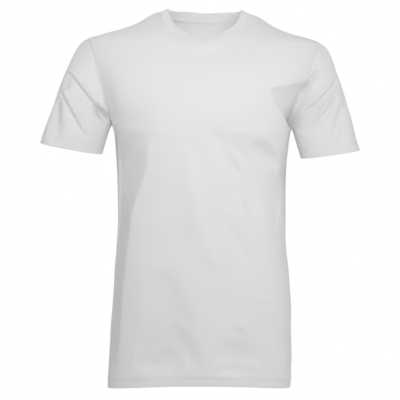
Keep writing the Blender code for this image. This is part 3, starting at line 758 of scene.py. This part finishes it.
def clothMaterial(name, colour, wale, course, relief, roughness, sheen):
    material, tree, shader = newMaterial(name)
    flat = tree.nodes.new("ShaderNodeUVMap")
    flat.uv_map = "cloth"
    knit = addGroup(tree, knitGroup, {"Map": flat.outputs["UV"], "Wale": wale, "Course": course})
    place = tree.nodes.new("ShaderNodeTexCoord").outputs["Object"]
    # the knit's depth darkens the colour: painted shade between the stitches
    tone = addGroup(tree, toneGroup, {"Place": place, "Colour": colour, "Depth": knit["Depth"]})
    fluff = addBump(tree, {"Strength": clothLook["fluffBump"], "Height": tone["Fluff"],
                           "Distance": clothLook["fluffHeight"]})
    stitches = addBump(tree, {"Strength": clothLook["knitBump"], "Height": knit["Height"],
                              "Distance": relief, "Normal": fluff})
    feed(tree, shader, {
        "Base Color": tone["Colour"], "Normal": stitches, "Roughness": roughness,
        "Specular IOR Level": clothLook["shine"], "Sheen Weight": sheen,
        "Sheen Roughness": clothLook["sheenRoughness"]})
    return material


def threadMaterial(name):
    # Twisted thread: fine slanting lines round each stitch, bumped, with painted shade in the low
    # part of each line
    material, tree, shader = newMaterial(name)
    place = tree.nodes.new("ShaderNodeTexCoord").outputs["Object"]
    wave = tree.nodes.new("ShaderNodeTexWave")
    wave.bands_direction = "DIAGONAL"
    twist = feed(tree, wave, {"Vector": place, "Scale": threadLook["twist"]}).outputs["Fac"]
    mix = tree.nodes.new("ShaderNodeMix")
    mix.data_type = "RGBA"
    # painted shade: where the twist lies low the colour is darker
    feed(tree, mix, {"Factor": twist, "A": threadLook["paintedGrooveShade"], "B": threadLook["colour"]})
    feed(tree, shader, {
        "Base Color": mix.outputs["Result"], "Roughness": threadLook["roughness"],
        "Sheen Weight": threadLook["sheen"],
        "Normal": addBump(tree, {"Distance": threadLook["relief"], "Height": twist})})
    return material


jersey, ribCloth, tapeCloth = (clothMaterial(name, *look) for name, look in cloths.items())
thread = threadMaterial("sewingThread")
print("materials made")


# Body panels
jerseyWall = 0.0011
hemWall = 0.0020              # the cloth lies double in the hem and the cuffs
frontFolds = (
    # below the neck rib, and the lower borders of the chest
    (((-0.110, -0.055), (-0.069, -0.079), (-0.018, -0.091), (0.032, -0.077), (0.074, -0.055)),
     0.0050, 0.016, 0.030, 0.0, 1.9),
    (((-0.149, -0.240), (-0.104, -0.250), (-0.055, -0.245)), 0.0020, 0.010, 0.018, 0.0, 1.8),
    (((0.057, -0.249), (0.085, -0.273), (0.115, -0.299)), 0.0050, 0.022, 0.011, 0.0, 1.9),
    (((0.093, -0.251), (0.111, -0.259), (0.129, -0.276), (0.146, -0.300)),
     0.0110, 0.0125, 0.0120, 0.4, 1.7),
    (((0.100, -0.149), (0.123, -0.165), (0.156, -0.184)), 0.0030, 0.010, 0.008, 0.0, 1.8),
    # drag lines from the chest to the waist at +X
    (((0.019, -0.225), (0.038, -0.261), (0.064, -0.303), (0.091, -0.355), (0.113, -0.408)),
     0.0076, 0.022, 0.012, 0.2, 1.9),
    (((0.048, -0.271), (0.063, -0.294), (0.081, -0.322)), 0.0042, 0.007, 0.007, 0.4, 1.6),
    (((0.022, -0.372), (0.051, -0.415), (0.079, -0.456), (0.105, -0.486)),
     0.0022, 0.014, 0.014, 0.9, 1.8),
    (((0.081, -0.325), (0.095, -0.365), (0.112, -0.430)), 0.0040, 0.022, 0.014, 0.0, 1.9),
    (((0.118, -0.364), (0.119, -0.384), (0.117, -0.411)), -0.0012, 0.006, 0.006, 0.0, 1.8),
    (((0.139, -0.364), (0.143, -0.385), (0.138, -0.409)), 0.0016, 0.008, 0.009, 0.0, 1.6),
    # across the middle: a long low ridge, and the hollow on its left
    (((-0.033, -0.257), (-0.014, -0.349), (0.004, -0.433), (0.034, -0.493)),
     -0.0054, 0.015, 0.018, 0.0, 1.9),
    (((-0.070, -0.319), (-0.048, -0.400), (-0.018, -0.475)), 0.0018, 0.022, 0.016, 0.0, 1.9),
    # from the waist to the hem
    (((-0.078, -0.490), (-0.058, -0.546), (-0.034, -0.605), (-0.007, -0.670)),
     0.0088, 0.022, 0.034, 0.0, 1.9),
    (((-0.050, -0.592), (-0.029, -0.637), (-0.002, -0.677)), 0.0080, 0.014, 0.020, 0.3, 1.7),
    (((-0.125, -0.660), (-0.079, -0.664), (-0.030, -0.667)), 0.0140, 0.050, 0.021, 0.0, 2.0),
    # short ones above the hem
    (((-0.071, -0.639), (-0.060, -0.660), (-0.043, -0.682)), 0.0056, 0.018, 0.012, 0.0, 1.9),
    (((-0.117, -0.671), (-0.094, -0.666), (-0.071, -0.671)), 0.0020, 0.010, 0.008, 0.2, 1.8),
    (((0.026, -0.653), (0.067, -0.650), (0.113, -0.661)), 0.0076, 0.022, 0.011, 0.1, 1.8),
    (((0.032, -0.678), (0.064, -0.677), (0.100, -0.681)), 0.0066, 0.015, 0.008, 0.1, 1.8),
    (((0.095, -0.551), (0.114, -0.556), (0.132, -0.553)), 0.0012, 0.005, 0.006, 0.5, 1.7),
    (((0.052, -0.598), (0.070, -0.606), (0.086, -0.619)), 0.0017, 0.008, 0.008, 0.9, 1.7),
)
backFolds = (
    (((0.152, -0.232), (0.108, -0.284), (0.052, -0.340)), 0.0050, 0.008, 0.014, 0.6, 1.5),
    (((-0.152, -0.246), (-0.104, -0.306), (-0.038, -0.354)), 0.0054, 0.014, 0.008, -0.6, 1.5),
    (((0.128, -0.350), (0.060, -0.398), (-0.022, -0.426)), 0.0052, 0.009, 0.016, 0.6, 1.6),
    (((-0.112, -0.398), (-0.046, -0.438), (0.038, -0.458)), 0.0044, 0.016, 0.009, -0.6, 1.6),
    (((0.030, -0.455), (-0.020, -0.480), (-0.074, -0.488)), 0.0030, 0.009, 0.014, 0.6, 1.7),
    (((0.060, -0.490), (0.086, -0.566), (0.104, -0.652)), 0.0044, 0.008, 0.014, 0.5, 1.6),
    (((-0.076, -0.508), (-0.100, -0.586), (-0.112, -0.666)), 0.0044, 0.014, 0.008, -0.5, 1.6),
    (((-0.010, -0.560), (0.004, -0.610), (0.000, -0.668)), 0.0026, 0.010, 0.012, 0.5, 1.8),
    (((-0.182, -0.116), (-0.166, -0.160), (-0.146, -0.208)), 0.0068, 0.012, 0.018, 0.3, 1.7),
    (((0.186, -0.110), (0.170, -0.158), (0.148, -0.206)), 0.0068, 0.018, 0.012, -0.3, 1.7),
    (((-0.060, -0.086), (0.000, -0.098), (0.064, -0.084)), 0.0018, 0.012, 0.014, 0.3, 1.9),
)
sidePlane = {                 # at -X the front is nearly flat from this ridge to the side seam
    "columns": ("height", "ridge"),
    "rows": (
        (-0.715, -0.157),
        (-0.600, -0.154),
        (-0.500, -0.149),
        (-0.454, -0.142),
        (-0.415, -0.137),
        (-0.388, -0.133),
        (-0.363, -0.128),
        (-0.340, -0.119),
        (-0.303, -0.106),
        (-0.266, -0.102),
        (-0.226, -0.103),
    ),
    "top": (0.222, 0.292),        # how far down it starts, and is whole
    "bottom": (0.600, 0.716),
    "proud": 0.0016,              # the ridge, above the form
    "proudWidth": 0.012,
    "seamFrom": 0.80,             # near the seam it is less flat
    "seamShare": 0.3,
    "evening": np.array((1.0, 2.0, 3.0, 2.0, 1.0)) / 9,   # rounds the edges of the flat part
}
armholeCreases = (
    # The valleys where chest and sleeves meet; both cloths follow them, so the seam stays shut.
    # Points, the way the cloth is pushed, depth, width to the chest, width to the sleeve
    (((-0.204, -0.122), (-0.197, -0.146), (-0.190, -0.172), (-0.181, -0.200), (-0.176, -0.220)),
     (0.35, 0.94, 0.0), 0.0100, 0.024, 0.009),
    (((0.200, -0.128), (0.193, -0.150), (0.184, -0.185), (0.178, -0.222)),
     (-0.35, 0.94, 0.0), 0.0050, 0.022, 0.009),
)
hollows = (
    # Three-cornered hollows, flat from their top edge, which is the first two corners, down
    # to the third one. Corners, push, depth, then how far the hollow goes on past its inner
    # side, past its outer side and below
    (((0.134, -0.146), (0.197, -0.131), (0.177, -0.209)), (-0.30, 0.95, 0.0), 0.0385,
     0.008, 0.009, 0.009),
    (((0.060, -0.232), (0.172, -0.232), (0.135, -0.365)), (0.0, 1.0, 0.0), 0.0200,
     0.024, 0.022, 0.070),
)
creaseLook = {
    "lineY": -0.062,              # of the armhole creases
    "yShare": 0.55,               # distances from front to back count less
    "startTurn": 0.08,            # where in the rise and fall of its depth a crease starts
    "turns": 0.90,
    "ends": 0.7,
    "hollowSlope": 0.7,           # less is steeper under a hollow's top edge
    "hollowBack": (-0.010, 0.030),   # hollows fade out between these depths
}
hemLook = {                       # heights above the edge, widths and depths
    "ridge": 0.0172,              # the cloth stands proud between the twin stitching
    "ridgeWidths": (0.0046, 0.0024),   # above it and below it
    "ridgeDepth": -0.0013,
    "groove": 0.0128,
    "grooveWidth": 0.0022,
    "grooveDepth": 0.0003,
    "swells": ((0.35, 41.0, 0.6), (0.25, 97.0, 2.0)),   # more in some places than in others
    "leastSwell": 0.75,
    "pucker": 0.0185,
    "puckerWidth": 0.006,
    "puckerDepth": 0.00012,
    "puckerLength": 0.0075,
}


def flattened(grid):
    # Presses the front flat beside the side seam at -X
    moved = np.zeros(grid.shape[:2])
    for row in range(len(grid)):
        x, y, z = grid[row].T
        reach = np.interp(0.0, x - tableValue(sidePlane, "ridge", z), x)
        ridgeY = np.interp(reach, x, y)
        share = softStep(*sidePlane["top"], -z) * (1 - softStep(*sidePlane["bottom"], -z))
        along = np.clip((reach - x) / (reach - x[0]), 0.0, 1.0)
        chord = ridgeY + (y[0] - ridgeY) * along
        seam = sidePlane["seamShare"] * softStep(sidePlane["seamFrom"], 1.0, along)
        proud = sidePlane["proud"] * bell(x - reach, sidePlane["proudWidth"])
        moved[row] = share * ((along > 0) * (1 - seam) * (chord - y) - proud)
    moved = np.pad(moved, ((0, 0), (2, 2)), mode="edge")
    moved = [np.convolve(row, sidePlane["evening"], mode="valid") for row in moved]
    return grid + np.stack(moved)[..., None] * np.array((0.0, 1.0, 0.0))


def hollowed(grid, corners, inner, outer, below):
    # From 0 along the top edge to 1 at the third corner, fading past the other sides
    first, second, third = (np.array(corner) for corner in corners)

    def beyond(start, end, within, at):
        # Distance past a side, positive outside the triangle
        along = unit(end - start)
        across = np.array((-along[1], along[0]))
        return (at - start) @ (across * -np.sign((within - start) @ across))

    at = grid[..., [0, 2]]
    height = -beyond(first, second, third, at)
    deepest = -beyond(first, second, third, third)
    share = np.clip(height / deepest, 0.0, 1.0) ** creaseLook["hollowSlope"]
    for past, width in ((beyond(first, third, second, at), inner),
                        (beyond(second, third, first, at), outer), (height - deepest, below)):
        share = share * bell(np.maximum(past, 0.0), width)
    return share * (1 - softStep(*creaseLook["hollowBack"], grid[..., 1]))


def creased(grid):
    # Pushes the cloth in along the armhole creases and at the hollows
    moved = np.zeros_like(grid)
    at = grid.reshape(-1, 3)
    for points, push, depth, chestWidth, sleeveWidth in armholeCreases:
        line = np.insert(curveThrough(points), 1, creaseLook["lineY"], axis=1)
        scale = np.array((1.0, creaseLook["yShare"], 1.0))
        apart = np.linalg.norm((at[:, None] - line[None]) * scale, axis=-1)
        near = apart.argmin(axis=1)
        beside = (at[:, 0] - line[near, 0]) * np.sign(line[near, 0])
        width = np.where(beside > 0, sleeveWidth, chestWidth)
        turn = creaseLook["startTurn"] + creaseLook["turns"] * near / (len(line) - 1)
        share = depth * np.sin(math.pi * turn) ** creaseLook["ends"]
        amount = share * bell(apart.min(axis=1), width)
        moved += (amount[:, None] * np.array(push)).reshape(grid.shape)
    for corners, push, depth, inner, outer, below in hollows:
        amount = depth * hollowed(grid, corners, inner, outer, below)
        moved += amount[..., None] * np.array(push)
    return grid + moved


def hemRelief(grid):
    up, x = distanceUp(grid), grid[..., 0]
    swell = hemLook["leastSwell"] + sum(size * np.sin(x * often + start)
                                        for size, often, start in hemLook["swells"])
    above = up - hemLook["ridge"]
    ridge = hemLook["ridgeDepth"] * bell(above, np.where(above > 0, *hemLook["ridgeWidths"]))
    groove = hemLook["grooveDepth"] * bell(up - hemLook["groove"], hemLook["grooveWidth"])
    pucker = (hemLook["puckerDepth"] * np.sin(x * 2 * math.pi / hemLook["puckerLength"])
              * bell(up - hemLook["pucker"], hemLook["puckerWidth"]))
    return swell * (ridge + groove) + pucker


def makeCloth(name, form, closed, seams, frontRows, backRows, relief):
    cloth = inStance(creased(pressed(form, closed, seams, frontRows, backRows, relief)))
    double = (distanceUp(cloth) < cut["hemWidth"]).mean(axis=1) > 0.5
    wall = np.where(double, hemWall, jerseyWall)
    return addShell(name, cloth, clothMap(inStance(form), closed), wall, jersey, closed), cloth


def makePanel(name, form, frontRows, backRows):
    seams = [form[0], form[:, 0], form[:, -1]]
    return makeCloth(name, form, False, seams, frontRows, backRows, hemRelief)


frontForm = flattened(finePanel(-1))
backForm = finePanel(+1)[:, ::-1]
frontPanel, frontCloth = makePanel("frontPanel", frontForm, frontFolds, ())
backPanel, backCloth = makePanel("backPanel", backForm, (), backFolds)
print("front and back made")


# Sleeves
sleeves = {
    "columns": ("side", "cuffOut", "cuffHeight", "cuffHalfWidth", "cap", "drop"),
    "rows": (
        (-1.0, 0.2508, -0.2618, 0.0612, 0.044, 0.119),
        (+1.0, 0.2482, -0.2653, 0.0582, 0.039, 0.149),
    ),
    "cuffHalfDepth": 0.0545,
    "squareness": 2.5,
    "cuffMiddle": 0.002,
    "cuffFrontDrop": 0.0040,
    "cuffSlope": 0.165,
    "cuffSettle": 0.35,
    "lean": math.radians(17),
    "underarmTurn": 0.005,
    "evenTop": (0.35, 0.75),      # the outer side is evened out, whole from the second share
    "evenDown": 0.30,             # and from this share of the way down
    "grooveUp": 0.0165,           # along the lower stitching, above the edge
    "grooveWidth": 0.0022,
    "grooveDepth": 0.0002,
    "ridgeUp": 0.0210,            # along the upper stitching
    "ridgeWidth": 0.0028,
    "ridgeDepth": -0.0003,
}
rightFrontFolds = (
    (((-0.263, -0.115), (-0.246, -0.134), (-0.229, -0.156), (-0.212, -0.176), (-0.194, -0.193),
      (-0.182, -0.205), (-0.174, -0.216)), 0.0080, 0.0045, 0.0090, 0.8, 1.3),
    (((-0.204, -0.179), (-0.192, -0.193), (-0.182, -0.205), (-0.173, -0.218)),
     0.0165, 0.0058, 0.0066, 0.0, 1.3),
    (((-0.273, -0.153), (-0.261, -0.179), (-0.246, -0.205), (-0.232, -0.228), (-0.218, -0.242)),
     0.0070, 0.0050, 0.0080, 0.9, 1.3),
    (((-0.264, -0.125), (-0.261, -0.137), (-0.261, -0.151)), 0.0034, 0.0070, 0.0060, 0.0, 1.7),
    (((-0.273, -0.166), (-0.283, -0.187), (-0.284, -0.215), (-0.277, -0.258)),
     0.0120, 0.0180, 0.0130, 0.0, 1.8),
)
rightBackFolds = (
    (((-0.268, -0.118), (-0.238, -0.158), (-0.196, -0.208)), 0.0060, 0.0090, 0.0060, -0.6, 1.4),
    (((-0.278, -0.160), (-0.258, -0.196), (-0.228, -0.236)), 0.0044, 0.0090, 0.0060, -0.6, 1.4),
)
leftFrontFolds = (
    (((0.223, -0.100), (0.213, -0.116), (0.204, -0.130), (0.193, -0.157)),
     0.0090, 0.0042, 0.0036, 0.3, 1.3),
    (((0.258, -0.117), (0.245, -0.143), (0.225, -0.165), (0.201, -0.185), (0.182, -0.199)),
     0.0088, 0.0055, 0.0060, -0.6, 1.4),
    (((0.256, -0.156), (0.241, -0.181), (0.226, -0.200), (0.215, -0.217)),
     0.0080, 0.0055, 0.0045, -0.7, 1.4),
    (((0.265, -0.170), (0.264, -0.195), (0.259, -0.216), (0.252, -0.244)),
     0.0100, 0.0130, 0.0090, -0.2, 1.7),
    (((0.270, -0.158), (0.275, -0.193), (0.277, -0.224)), 0.0040, 0.0080, 0.0080, 0.0, 1.8),
)
leftBackFolds = (
    (((0.262, -0.124), (0.232, -0.164), (0.192, -0.210)), 0.0060, 0.0060, 0.0090, 0.6, 1.4),
    (((0.272, -0.164), (0.250, -0.200), (0.220, -0.238)), 0.0044, 0.0060, 0.0090, 0.6, 1.4),
)


def smoothedRound(vectors, reach):
    # Directions round a closed edge, evened out over so many points each way
    kernel = np.hanning(2 * reach + 1)
    wrapped = np.concatenate((vectors[-reach:], vectors, vectors[:reach]))
    return unit(np.stack([np.convolve(values, kernel / kernel.sum(), mode="valid")
                          for values in wrapped.T], axis=1))


def sleeveForm(side, cuffOut, cuffHeight, cuffHalfWidth, cap, drop):
    # Rows run from the armhole to the cuff, columns round from the shoulder tip by the back
    count = cells["armhole"] * cells["steps"]
    start, strip = (np.concatenate((backForm[:count + 1, column],
                                    frontForm[count - 1:0:-1, -1 - column])) for column in (0, 1))
    out = unit((start - strip) * np.array((1.0, cut["armholeCarry"], 1.0)))
    out = smoothedRound(out, cells["steps"])
    shares = pathLengths(start[:count + 1])
    shares = shares / shares[-1]
    turn = math.pi * np.concatenate((shares, 2.0 - shares[count - 1:0:-1]))
    level = unit(np.array((1.0, 0.0, sleeves["cuffSlope"])))
    power = 2.0 / sleeves["squareness"]
    deep = np.array((0.0, sleeves["cuffHalfDepth"], sleeves["cuffFrontDrop"]))
    end = (np.array((cuffOut, sleeves["cuffMiddle"], cuffHeight))
           + rounded(np.cos(turn), power)[:, None] * cuffHalfWidth * level
           + rounded(np.sin(turn), power)[:, None] * deep)
    fall = np.array((math.sin(sleeves["lean"]), 0.0, -math.cos(sleeves["lean"])))
    upper = (1 + np.cos(turn)) / 2
    reach = sleeves["underarmTurn"] + (cap - sleeves["underarmTurn"]) * upper
    settle = np.linalg.norm(end - start, axis=1) * sleeves["cuffSettle"]
    settle = settle + (drop - settle) * upper ** 2
    t = np.linspace(0.0, 1.0, cells["linePoints"])[:, None, None]
    curves = curved(t, start, reach[:, None] * 3 * out, end, settle[:, None] * 3 * fall)
    down = np.linspace(0.0, 1.0, cells["sleeve"] * cells["sleeveSteps"] + 1)
    grid = np.stack([spaced(curves[:, column], down) for column in range(len(turn))], axis=1)
    outer = (softStep(*sleeves["evenTop"], upper)[None, :, None]
             * softStep(0.0, sleeves["evenDown"], down)[:, None, None])
    for _ in range(cells["relaxing"]):
        beside = (np.roll(grid, 1, axis=1) + np.roll(grid, -1, axis=1)) / 2
        grid = grid + outer * (beside - grid) / 2
    return (grid * mirror)[:, ::-1] if side < 0 else grid


def cuffRelief(grid):
    up = distanceUp(grid)
    return (sleeves["ridgeDepth"] * bell(up - sleeves["ridgeUp"], sleeves["ridgeWidth"])
            + sleeves["grooveDepth"] * bell(up - sleeves["grooveUp"], sleeves["grooveWidth"]))


def makeSleeve(name, row, frontRows, backRows):
    form = sleeveForm(*sleeves["rows"][row])
    return makeCloth(name, form, True, [form[0]], frontRows, backRows, cuffRelief)


sleeveRight, rightCloth = makeSleeve("sleeveRight", 0, rightFrontFolds, rightBackFolds)
sleeveLeft, leftCloth = makeSleeve("sleeveLeft", 1, leftFrontFolds, leftBackFolds)
print("sleeves made")


# Neck rib and tape
neck = {
    "columns": ("angle", "inward", "rise"),   # of the folded edge; the angle runs from the front
    "rows": (
        (0.0, 0.0140, 0.0105),
        (40.0, 0.0150, 0.0110),
        (75.0, 0.0165, 0.0085),
        (95.0, 0.0160, 0.0075),
        (120.0, 0.0140, 0.0120),
        (145.0, 0.0120, 0.0155),
        (180.0, 0.0110, 0.0150),
    ),
    "turn": 0.2,
    "evening": 4,             # points of the seam, each way
    "wall": 0.0021,
    "gridRows": 18,
    "gridSteps": 8,
    "ribs": 268,
    "ribDepth": 0.00016,
    "ribFade": (0.0008, 0.0028),      # above the seam
    "tapeWall": 0.0009,
    "tapeClearance": 0.0003,
}


def neckForm():
    # Rows run down from the folded edge to the neck seam, columns round from -X by the front
    middle = frontForm.shape[1] // 2
    half = cells["neck"] // 2 * cells["steps"]
    seam, below = (np.concatenate((frontForm[row, middle - half:middle + half + 1],
                                   backForm[row, middle - half + 1:middle + half]))
                   for row in (0, 1))
    along = unit(np.roll(seam, -1, axis=0) - np.roll(seam, 1, axis=0))
    out = seam - below
    out = unit(out - along * (out * along).sum(axis=1, keepdims=True))
    out = smoothedRound(out, neck["evening"])
    inward = np.array((0.0, seam[:, 1].mean(), 0.0)) - seam
    inward = unit(inward * np.array((1.0, 1.0, 0.0)))
    angle = np.degrees(np.arctan2(np.abs(inward[:, 0]), inward[:, 1]))
    top = seam + inward * tableValue(neck, "inward", angle)[:, None]
    top[:, 2] += tableValue(neck, "rise", angle)
    width = np.linalg.norm(top - seam, axis=1, keepdims=True)
    t = np.linspace(1.0, 0.0, neck["gridRows"] + 1)[:, None, None]
    end = (top - seam) * (1 + neck["turn"]) - out * width * neck["turn"]
    return curved(t, seam, out * width, top, end)


def ringRefined(grid, steps):
    wrapped = np.concatenate((grid[:, -2:], grid, grid[:, :3]), axis=1)
    return refined(wrapped, steps, 1)[:, 2 * steps:(2 + grid.shape[1]) * steps]


def newShapeTree(name, inputs):
    return newTree("GeometryNodeTree", name, (("Geometry", "Geometry", None), *inputs,
                                              ("Material", "Material", None)),
                   (("Geometry", "Geometry"),))


def finishTree(tree, given, result, geometry):
    # Ends in Realize Instances and Set Material
    real = addNode(tree, "GeometryNodeRealizeInstances", {"Geometry": geometry})
    dressed = addNode(tree, "GeometryNodeSetMaterial", {"Geometry": real.outputs["Geometry"],
                                                        "Material": given["Material"]})
    feed(tree, result, {"Geometry": dressed.outputs["Geometry"]})
    return tree


def applied(piece, tree, values):
    # Runs a tree on a piece and leaves a plain mesh under the same name
    modifier = piece.modifiers.new(tree.name, "NODES")
    modifier.node_group = tree
    for item in tree.interface.items_tree:
        if item.item_type == "SOCKET" and item.in_out == "INPUT" and item.name in values:
            modifier[item.identifier] = values[item.name]
    bpy.context.view_layer.update()
    depsgraph = bpy.context.evaluated_depsgraph_get()
    mesh = bpy.data.meshes.new_from_object(piece.evaluated_get(depsgraph), depsgraph=depsgraph)
    name = piece.name
    bpy.data.objects.remove(piece)
    mesh.name = name
    return addObject(name, mesh)


def ribTree():
    # Lifts and lowers the surface by a wave across the ribs
    tree, given, result = newShapeTree("neckRibs", (("Depth", "Float", 0.0002),))
    turn, fade = (addNode(tree, "GeometryNodeInputNamedAttribute",
                          {"Name": name}).outputs["Attribute"] for name in ("ribTurn", "ribFade"))
    wave = mathNode(tree, "COSINE", mathNode(tree, "MULTIPLY", turn, 2 * math.pi))
    lift = mathNode(tree, "MULTIPLY", mathNode(tree, "MULTIPLY", wave, given["Depth"]), fade)
    normal = tree.nodes.new("GeometryNodeInputNormal").outputs["Normal"]
    moved = addNode(tree, "GeometryNodeSetPosition", {"Geometry": given["Geometry"],
                                                      "Offset": scaled(tree, normal, lift)})
    return finishTree(tree, given, result, moved.outputs["Geometry"])


def makeRib():
    form = neckForm()
    cloth = inStance(ringRefined(form, neck["gridSteps"]))
    up = distanceUp(cloth)
    roll = seamLook["depth"] * bell(up, seamLook["width"])
    cloth = cloth - normalsOf(cloth, True) * roll[..., None]
    piece = addShell("neckRib", cloth, clothMap(cloth, True), neck["wall"], ribCloth,
                     closed=True, roundTop=True, roundBottom=False)
    around = cloth.shape[1]
    layers = len(piece.data.vertices) // around
    fade = softStep(*neck["ribFade"], up.mean(axis=1))
    fade = np.concatenate((fade, fade[::-1], np.ones(layers - 2 * len(fade))))
    for name, values in (("ribTurn", np.tile(np.arange(around) * neck["ribs"] / around, layers)),
                         ("ribFade", np.repeat(fade, around))):
        piece.data.attributes.new(name, "FLOAT", "POINT").data.foreach_set(
            "value", values.astype(np.float32))
    return applied(piece, ribTree(), {"Depth": neck["ribDepth"], "Material": ribCloth}), form


def makeTape(form):
    # Inside the rib's lower half and the seam, round the back from shoulder to shoulder
    half = form.shape[1] // 2
    inside = (form - normalsOf(form, True) * (neck["wall"] + neck["tapeClearance"]))[:, half + 2:]
    under = backForm[1] - normalsOf(backForm, False)[1] * (jerseyWall + 2 * neck["tapeClearance"])
    middle = backForm.shape[1] // 2
    under = under[middle - half // 2 + 2:middle + half // 2]
    strip = inStance(np.concatenate((inside[neck["gridRows"] // 2:-1], under[None])))
    return addShell("neckTape", strip, clothMap(strip, False), neck["tapeWall"], tapeCloth,
                    roundTop=True), strip


neckRib, ribForm = makeRib()
neckTape, tapeStrip = makeTape(ribForm)
print("neck rib and tape made")


# Sewing
sewing = {
    "stitch": 0.0024,
    "gap": 0.0009,
    "thickness": 0.00042,
    "unevenness": 0.10,
    "lift": 0.00012,
    "hemRows": (0.0145, 0.0196),      # above the edge
    "cuffRows": (0.0165, 0.0212),
    "neckRow": 0.0036,                # below the neck seam
    "shoulderRow": 0.0040,            # behind the shoulder seam
    "armholeRow": 0.0036,             # from the armhole, on the body
    "armholeStart": 3,                # points below the shoulder seam
    "stripPoints": 40,                # of the cloth beside a seam, enough to reach its row
}


def stitchTree():
    # Stitches of thread along every line of the mesh
    tree, given, result = newShapeTree("stitchRun", (
        ("Stitch", "Float", 0.0024), ("Gap", "Float", 0.0009), ("Thickness", "Float", 0.0004),
        ("Unevenness", "Float", 0.1), ("Seed", "Int", 3)))
    curve = addNode(tree, "GeometryNodeMeshToCurve", {"Mesh": given["Geometry"]})
    even = tree.nodes.new("GeometryNodeResampleCurve")
    even.mode = "LENGTH"
    feed(tree, even, {"Curve": curve.outputs["Curve"],
                      "Length": mathNode(tree, "ADD", given["Stitch"], given["Gap"])})
    ball = addNode(tree, "GeometryNodeMeshUVSphere", {"Segments": 6, "Rings": 4, "Radius": 0.5})
    turned = tree.nodes.new("FunctionNodeAlignRotationToVector")
    turned.axis = "X"
    tangent = tree.nodes.new("GeometryNodeInputTangent").outputs["Tangent"]
    feed(tree, turned, {"Vector": tangent})
    chance = addNode(tree, "FunctionNodeRandomValue", {
        2: mathNode(tree, "SUBTRACT", 1.0, given["Unevenness"]),
        3: mathNode(tree, "ADD", 1.0, given["Unevenness"]), "Seed": given["Seed"]})
    length = mathNode(tree, "MULTIPLY", given["Stitch"], chance.outputs[1])
    size = addNode(tree, "ShaderNodeCombineXYZ", {"X": length, "Y": given["Thickness"],
                                                  "Z": given["Thickness"]})
    placed = addNode(tree, "GeometryNodeInstanceOnPoints", {
        "Points": even.outputs["Curve"], "Instance": ball.outputs["Mesh"],
        "Rotation": turned.outputs["Rotation"], "Scale": size.outputs["Vector"]})
    return finishTree(tree, given, result, placed.outputs["Instances"])


def sewn(name, lines, seed):
    # Each line is its points and whether it closes on itself
    points, edges = [], []
    for line, closed in lines:
        first = len(points)
        points += line.tolist()
        edges += [(first + k, first + k + 1) for k in range(len(line) - 1)]
        if closed:
            edges.append((first + len(line) - 1, first))
    mesh = bpy.data.meshes.new(name)
    mesh.from_pydata(points, edges, [])
    values = {"Stitch": sewing["stitch"], "Gap": sewing["gap"], "Thickness": sewing["thickness"],
              "Unevenness": sewing["unevenness"], "Seed": seed, "Material": thread}
    piece = applied(addObject(name, mesh), stitchRun, values)
    piece.data.shade_smooth()
    return piece


def stitchPoint(distance, run, points, normals):
    # So far along a strip of the cloth, lifted a little off it
    at, out = (np.array([np.interp(distance, run, values) for values in grid.T])
               for grid in (points, normals))
    return at + sewing["lift"] * out


def lineUp(grid, closed, height):
    # So far above the bottom edge, all the way across or round
    normals, up = normalsOf(grid, closed)[::-1], distanceUp(grid)[::-1]
    return np.array([stitchPoint(height, up[:, column], grid[::-1, column], normals[:, column])
                     for column in range(grid.shape[1])])


def lineBeside(grid, normals, distance):
    # So far from a seam that runs along the first row
    return np.array([stitchPoint(distance, pathLengths(strip), strip, out)
                     for strip, out in zip(grid.swapaxes(0, 1), normals.swapaxes(0, 1))])


def lineDown(grid, columns, distance):
    # Below the top edge
    part = np.s_[:sewing["stripPoints"], columns]
    return lineBeside(grid[part], normalsOf(grid, False)[part], distance)


def armholeLine(grid, step):
    # On the body beside the armhole; a step of 1 is at the first column, -1 at the last
    rows = slice(sewing["armholeStart"], cells["armhole"] * cells["steps"] - 1)
    strips = [points[rows, ::step][:, :sewing["stripPoints"]].swapaxes(0, 1)
              for points in (grid, normalsOf(grid, False))]
    return lineBeside(*strips, sewing["armholeRow"])


stitchRun = stitchTree()
shoulder = cells["shoulder"] * cells["steps"]
last = frontCloth.shape[1] - 1
hemStitches = sewn("hemStitches", [
    (lineUp(cloth, False, height), False)
    for cloth in (frontCloth, backCloth) for height in sewing["hemRows"]], 11)
cuffStitches = sewn("cuffStitches", [
    (lineUp(cloth, True, height), True)
    for cloth in (rightCloth, leftCloth) for height in sewing["cuffRows"]], 12)
neckStitches = sewn("neckStitches", [
    (lineDown(cloth, slice(shoulder + 1, last - shoulder), sewing["neckRow"]), False)
    for cloth in (frontCloth, backCloth)], 13)
shoulderStitches = sewn("shoulderStitches", [
    (lineDown(backCloth, columns, sewing["shoulderRow"]), False)
    for columns in (slice(2, shoulder), slice(last - shoulder + 1, last - 1))], 14)
armholeStitches = sewn("armholeStitches", [
    (armholeLine(cloth, step), False)
    for cloth in (frontCloth, backCloth) for step in (1, -1)], 15)
tapeInside = tapeStrip - normalsOf(tapeStrip, False) * (neck["tapeWall"] + sewing["lift"])
tapeStitches = sewn("tapeStitches", [(tapeInside[1], False), (tapeInside[-2], False)], 16)
print("sewing made")


# What stands for what
pieces = (   # piece, node, slot
    (frontPanel, "front_panel", "jersey"),
    (backPanel, "back_panel", "jersey"),
    (sleeveRight, "sleeve_right", "jersey"),
    (sleeveLeft, "sleeve_left", "jersey"),
    (neckRib, "neck_rib", "rib"),
    (neckTape, "neck_tape", "tape"),
)
for piece, node, slot in pieces:
    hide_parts(node)
    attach(piece, "root")
for piece in (hemStitches, cuffStitches, neckStitches, shoulderStitches, armholeStitches,
              tapeStitches):
    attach(piece, "root")

print("pieces declared")
